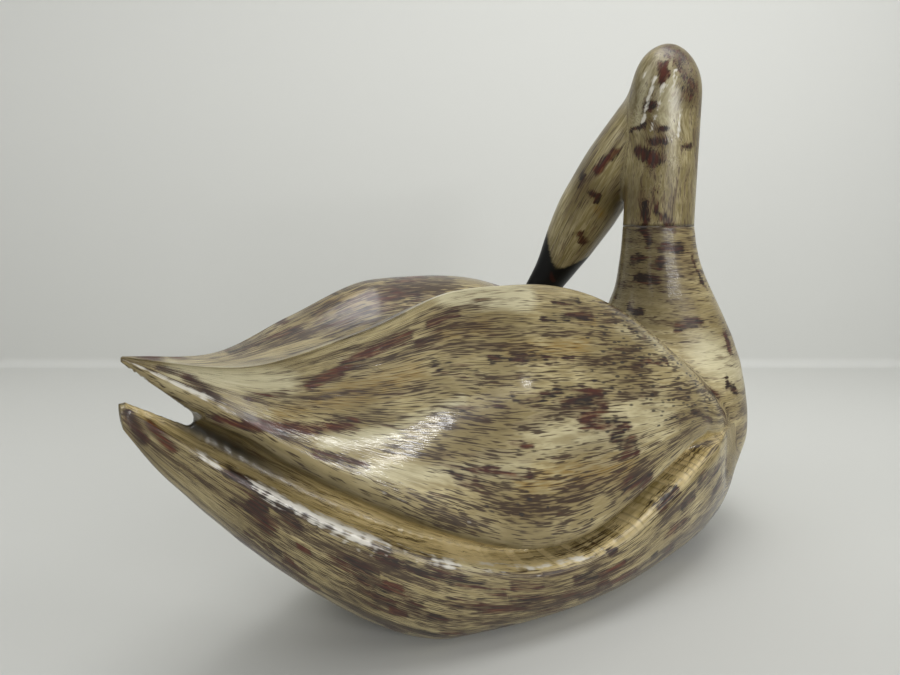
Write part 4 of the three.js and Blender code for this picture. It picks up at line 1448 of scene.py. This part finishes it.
# %% Satin varnish
def satin_varnish(tree, at, shader):
    """Gloss of paint and varnish, and the relief of the brush lines."""
    gloss = add_node(tree, "MapRange", {}, {"Value": at["core"], "To Min": 0.36, "To Max": 0.45})[0]
    tree.links.new(gloss, shader.inputs["Roughness"])
    coat = add_node(tree, "Math", TIMES_PLUS, {0: at["channel"], 1: -0.8, 2: at["speckle"]})[0]
    left_over = {"Value": coat, "From Min": -1, "From Max": 0, "To Min": 0.2, "To Max": 0.6}
    coat = add_node(tree, "MapRange", {}, left_over)[0]
    coat = add_node(tree, "MapRange", {}, {"Value": at["bill"], "To Min": coat, "To Max": 0.05})[0]
    tree.links.new(coat, shader.inputs["Coat Weight"])
    specular = add_node(tree, "MapRange", {}, {"Value": at["bill"], "To Min": 0.35, "To Max": 0.15})[0]
    tree.links.new(specular, shader.inputs["Specular IOR Level"])
    relief = {"Strength": 0.5, "Distance": 0.15 * MM, "Height": at["fine"]}
    bump = add_node(tree, "Bump", {"invert": True}, relief)[0]
    tree.links.new(bump, shader.inputs["Normal"])
    tree.links.new(bump, shader.inputs["Coat Normal"])
    shader.inputs["Coat Roughness"].default_value = 0.12


# %% The paint recipe
def rubbed_paint(name, tones, ragged, line_strength):
    """All layers of the finish in their order, for one block."""
    material = bpy.data.materials.new(name)
    material.use_nodes = True
    tree = material.node_tree
    shader = tree.nodes["Principled BSDF"]
    at = read_values(tree)
    colour = cream_coat(tree, at, *tones)
    colour = brown_veil(tree, at, colour)
    colour = channel_gold(tree, at, colour)
    colour = sanding_lines(tree, at, colour, line_strength)
    colour = bare_streaks(tree, at, colour, ragged)
    colour = open_pores(tree, at, colour)
    colour = white_edges(tree, at, colour)
    colour = black_bill(tree, at, colour)
    tree.links.new(colour, shader.inputs["Base Color"])
    satin_varnish(tree, at, shader)
    return material


# %% [markdown]
# ## Paint on both blocks
# The body's cream is lighter and its streaks are brushed, so dashes count much in them. The neck's cream
# is more olive, with fewer lines and rounder marks. Each piece then rides the root body and stands for
# its solid.

# %% Paint on both blocks
BODY_TONES = ("#97885E", "#C3B588", "#7A6B44")
NECK_TONES = ("#84774D", "#B6AA82", "#5C4F2B")
body_paint = rubbed_paint("cream_paint_rubbed_back_to_brown", BODY_TONES, 2.4, 0.9)
neck_paint = rubbed_paint("cream_paint_rubbed_back_with_black_bill", NECK_TONES, 1.8, 0.75)
for piece, paint, node, slot in (
    (body, body_paint, "body", "body_wood"),
    (neck, neck_paint, "neck_and_head", "neck_wood"),
):
    faces = len(piece.data.polygons)
    piece.data.materials.clear()
    piece.data.materials.append(paint)
    piece.data.polygons.foreach_set("material_index", np.zeros(faces, dtype=np.int32))
    piece.data.shade_smooth()
    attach(piece, "root")
    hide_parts(node)
    print(piece.name, "has", len(paint.node_tree.nodes), "nodes on", faces, "faces")

# %% [markdown]
# ## Camera
# The camera stands behind the swan's right side, a little above it, as for a picture taken by hand.
# Place, tilt and focal length were fitted to the outline of the real swan. Everything is in focus.

# %% Camera
FOCAL_PIXELS, FRAME_WIDTH, SENSOR = 676, 900, 36
CAMERA_PLACE = Vector((-293.2, -304.5, 216.3)) * MM
CAMERA_PITCH, CAMERA_HEADING = math.radians(9.386), math.radians(36.936)
camera_data = bpy.data.cameras.new("camera")
camera_data.sensor_width = SENSOR
camera_data.lens = FOCAL_PIXELS / FRAME_WIDTH * SENSOR
camera_data.clip_start = 0.01
camera = bpy.data.objects.new("camera", camera_data)
bpy.context.collection.objects.link(camera)
camera.location = CAMERA_PLACE
camera.rotation_euler = (math.pi / 2 - CAMERA_PITCH, 0, -CAMERA_HEADING)
bpy.context.scene.camera = camera
print("focal length, mm:", round(camera_data.lens, 2))

# %% [markdown]
# ## Floor and backdrop
# A pale board lies under the swan and bends up behind it with a small radius, so the line between floor
# and wall stays soft. It is one strip of faces across the camera's view, and part of the studio alone.

# %% Floor and backdrop
BACKDROP_DISTANCE, BEND_RADIUS, BEND_STEPS = 1.03, 0.015, 12
BOARD_START, BOARD_TOP, BOARD_HALF_WIDTH = -2.5, 2.5, 3
forward = Vector((math.sin(CAMERA_HEADING), math.cos(CAMERA_HEADING), 0))
sideways = Vector((math.cos(CAMERA_HEADING), -math.sin(CAMERA_HEADING), 0))
foot = Vector((CAMERA_PLACE.x, CAMERA_PLACE.y, 0))
board_line = [(BOARD_START, 0)]
for a in np.linspace(0, np.pi / 2, BEND_STEPS):
    far = BACKDROP_DISTANCE - BEND_RADIUS + BEND_RADIUS * math.sin(a)
    board_line.append((far, BEND_RADIUS * (1 - math.cos(a))))
board_line.append((BACKDROP_DISTANCE, BOARD_TOP))
stage_vertices, stage_faces = [], []
for far, up in board_line:
    for across in (-BOARD_HALF_WIDTH, BOARD_HALF_WIDTH):
        stage_vertices.append(foot + forward * far + sideways * across + Vector((0, 0, up)))
for i in range(len(board_line) - 1):
    stage_faces.append((2 * i, 2 * i + 1, 2 * i + 3, 2 * i + 2))
floor = mesh_object("studio_floor", stage_vertices, stage_faces)
floor.data.shade_smooth()
print("board faces:", len(stage_faces))

# %% Matt board
BOARD_COLOUR = (0.585, 0.59, 0.56, 1)
paper = bpy.data.materials.new("matt_studio_board")
paper.use_nodes = True
board_shader = paper.node_tree.nodes["Principled BSDF"]
board_shader.inputs["Base Color"].default_value = BOARD_COLOUR
board_shader.inputs["Roughness"].default_value = 0.6
floor.data.materials.append(paper)
print("board material:", paper.name)

# %% [markdown]
# ## Light
# The room is soft and even, so most light comes from the world and a wide panel above. A window at the
# right shapes the breast. The long bright sheen on the flare of the wing comes from a low strip: it is
# placed where the flank mirrors it into the camera. One panel is for the wall alone.


# %% Soft lights
def soft_light(name, place, target, size, power):
    """A rectangular area light at place that faces target."""
    data = bpy.data.lights.new(name, "AREA")
    data.shape = "RECTANGLE"
    data.size, data.size_y = size
    data.energy = power
    lamp = bpy.data.objects.new(name, data)
    bpy.context.collection.objects.link(lamp)
    lamp.location = place
    lamp.rotation_euler = (Vector(target) - Vector(place)).to_track_quat("-Z", "Y").to_euler()


# %% Light
WORLD_STRENGTH = 0.28
world = bpy.data.worlds.new("soft_room")
bpy.context.scene.world = world
world.use_nodes = True
world.node_tree.nodes["Background"].inputs["Color"].default_value = (1, 1, 1, 1)
world.node_tree.nodes["Background"].inputs["Strength"].default_value = WORLD_STRENGTH
soft_light("ceiling_light", (0.1, 0.0, 1.5), (0, 0, 0.1), (0.9, 0.7), 7.0)
soft_light("key_window", (0.5, -1.05, 1.0), (0, 0, 0.12), (0.7, 0.7), 2.9)
soft_light("low_strip", (-0.12, -1.4, 0.52), (-0.12, 0, 0.12), (0.75, 0.08), 8.0)
soft_light("side_window", (-1.15, -0.54, 0.48), (0.1, 0, 0.28), (0.2, 0.25), 0.6)
soft_light("wall_washer", (-0.33, 0.27, 0.62), (-0.03, 0.77, 0.14), (2.3, 0.3), 3.6)
bpy.context.scene.view_settings.view_transform = "Standard"
print("lights:", [lamp.name for lamp in bpy.data.lights])
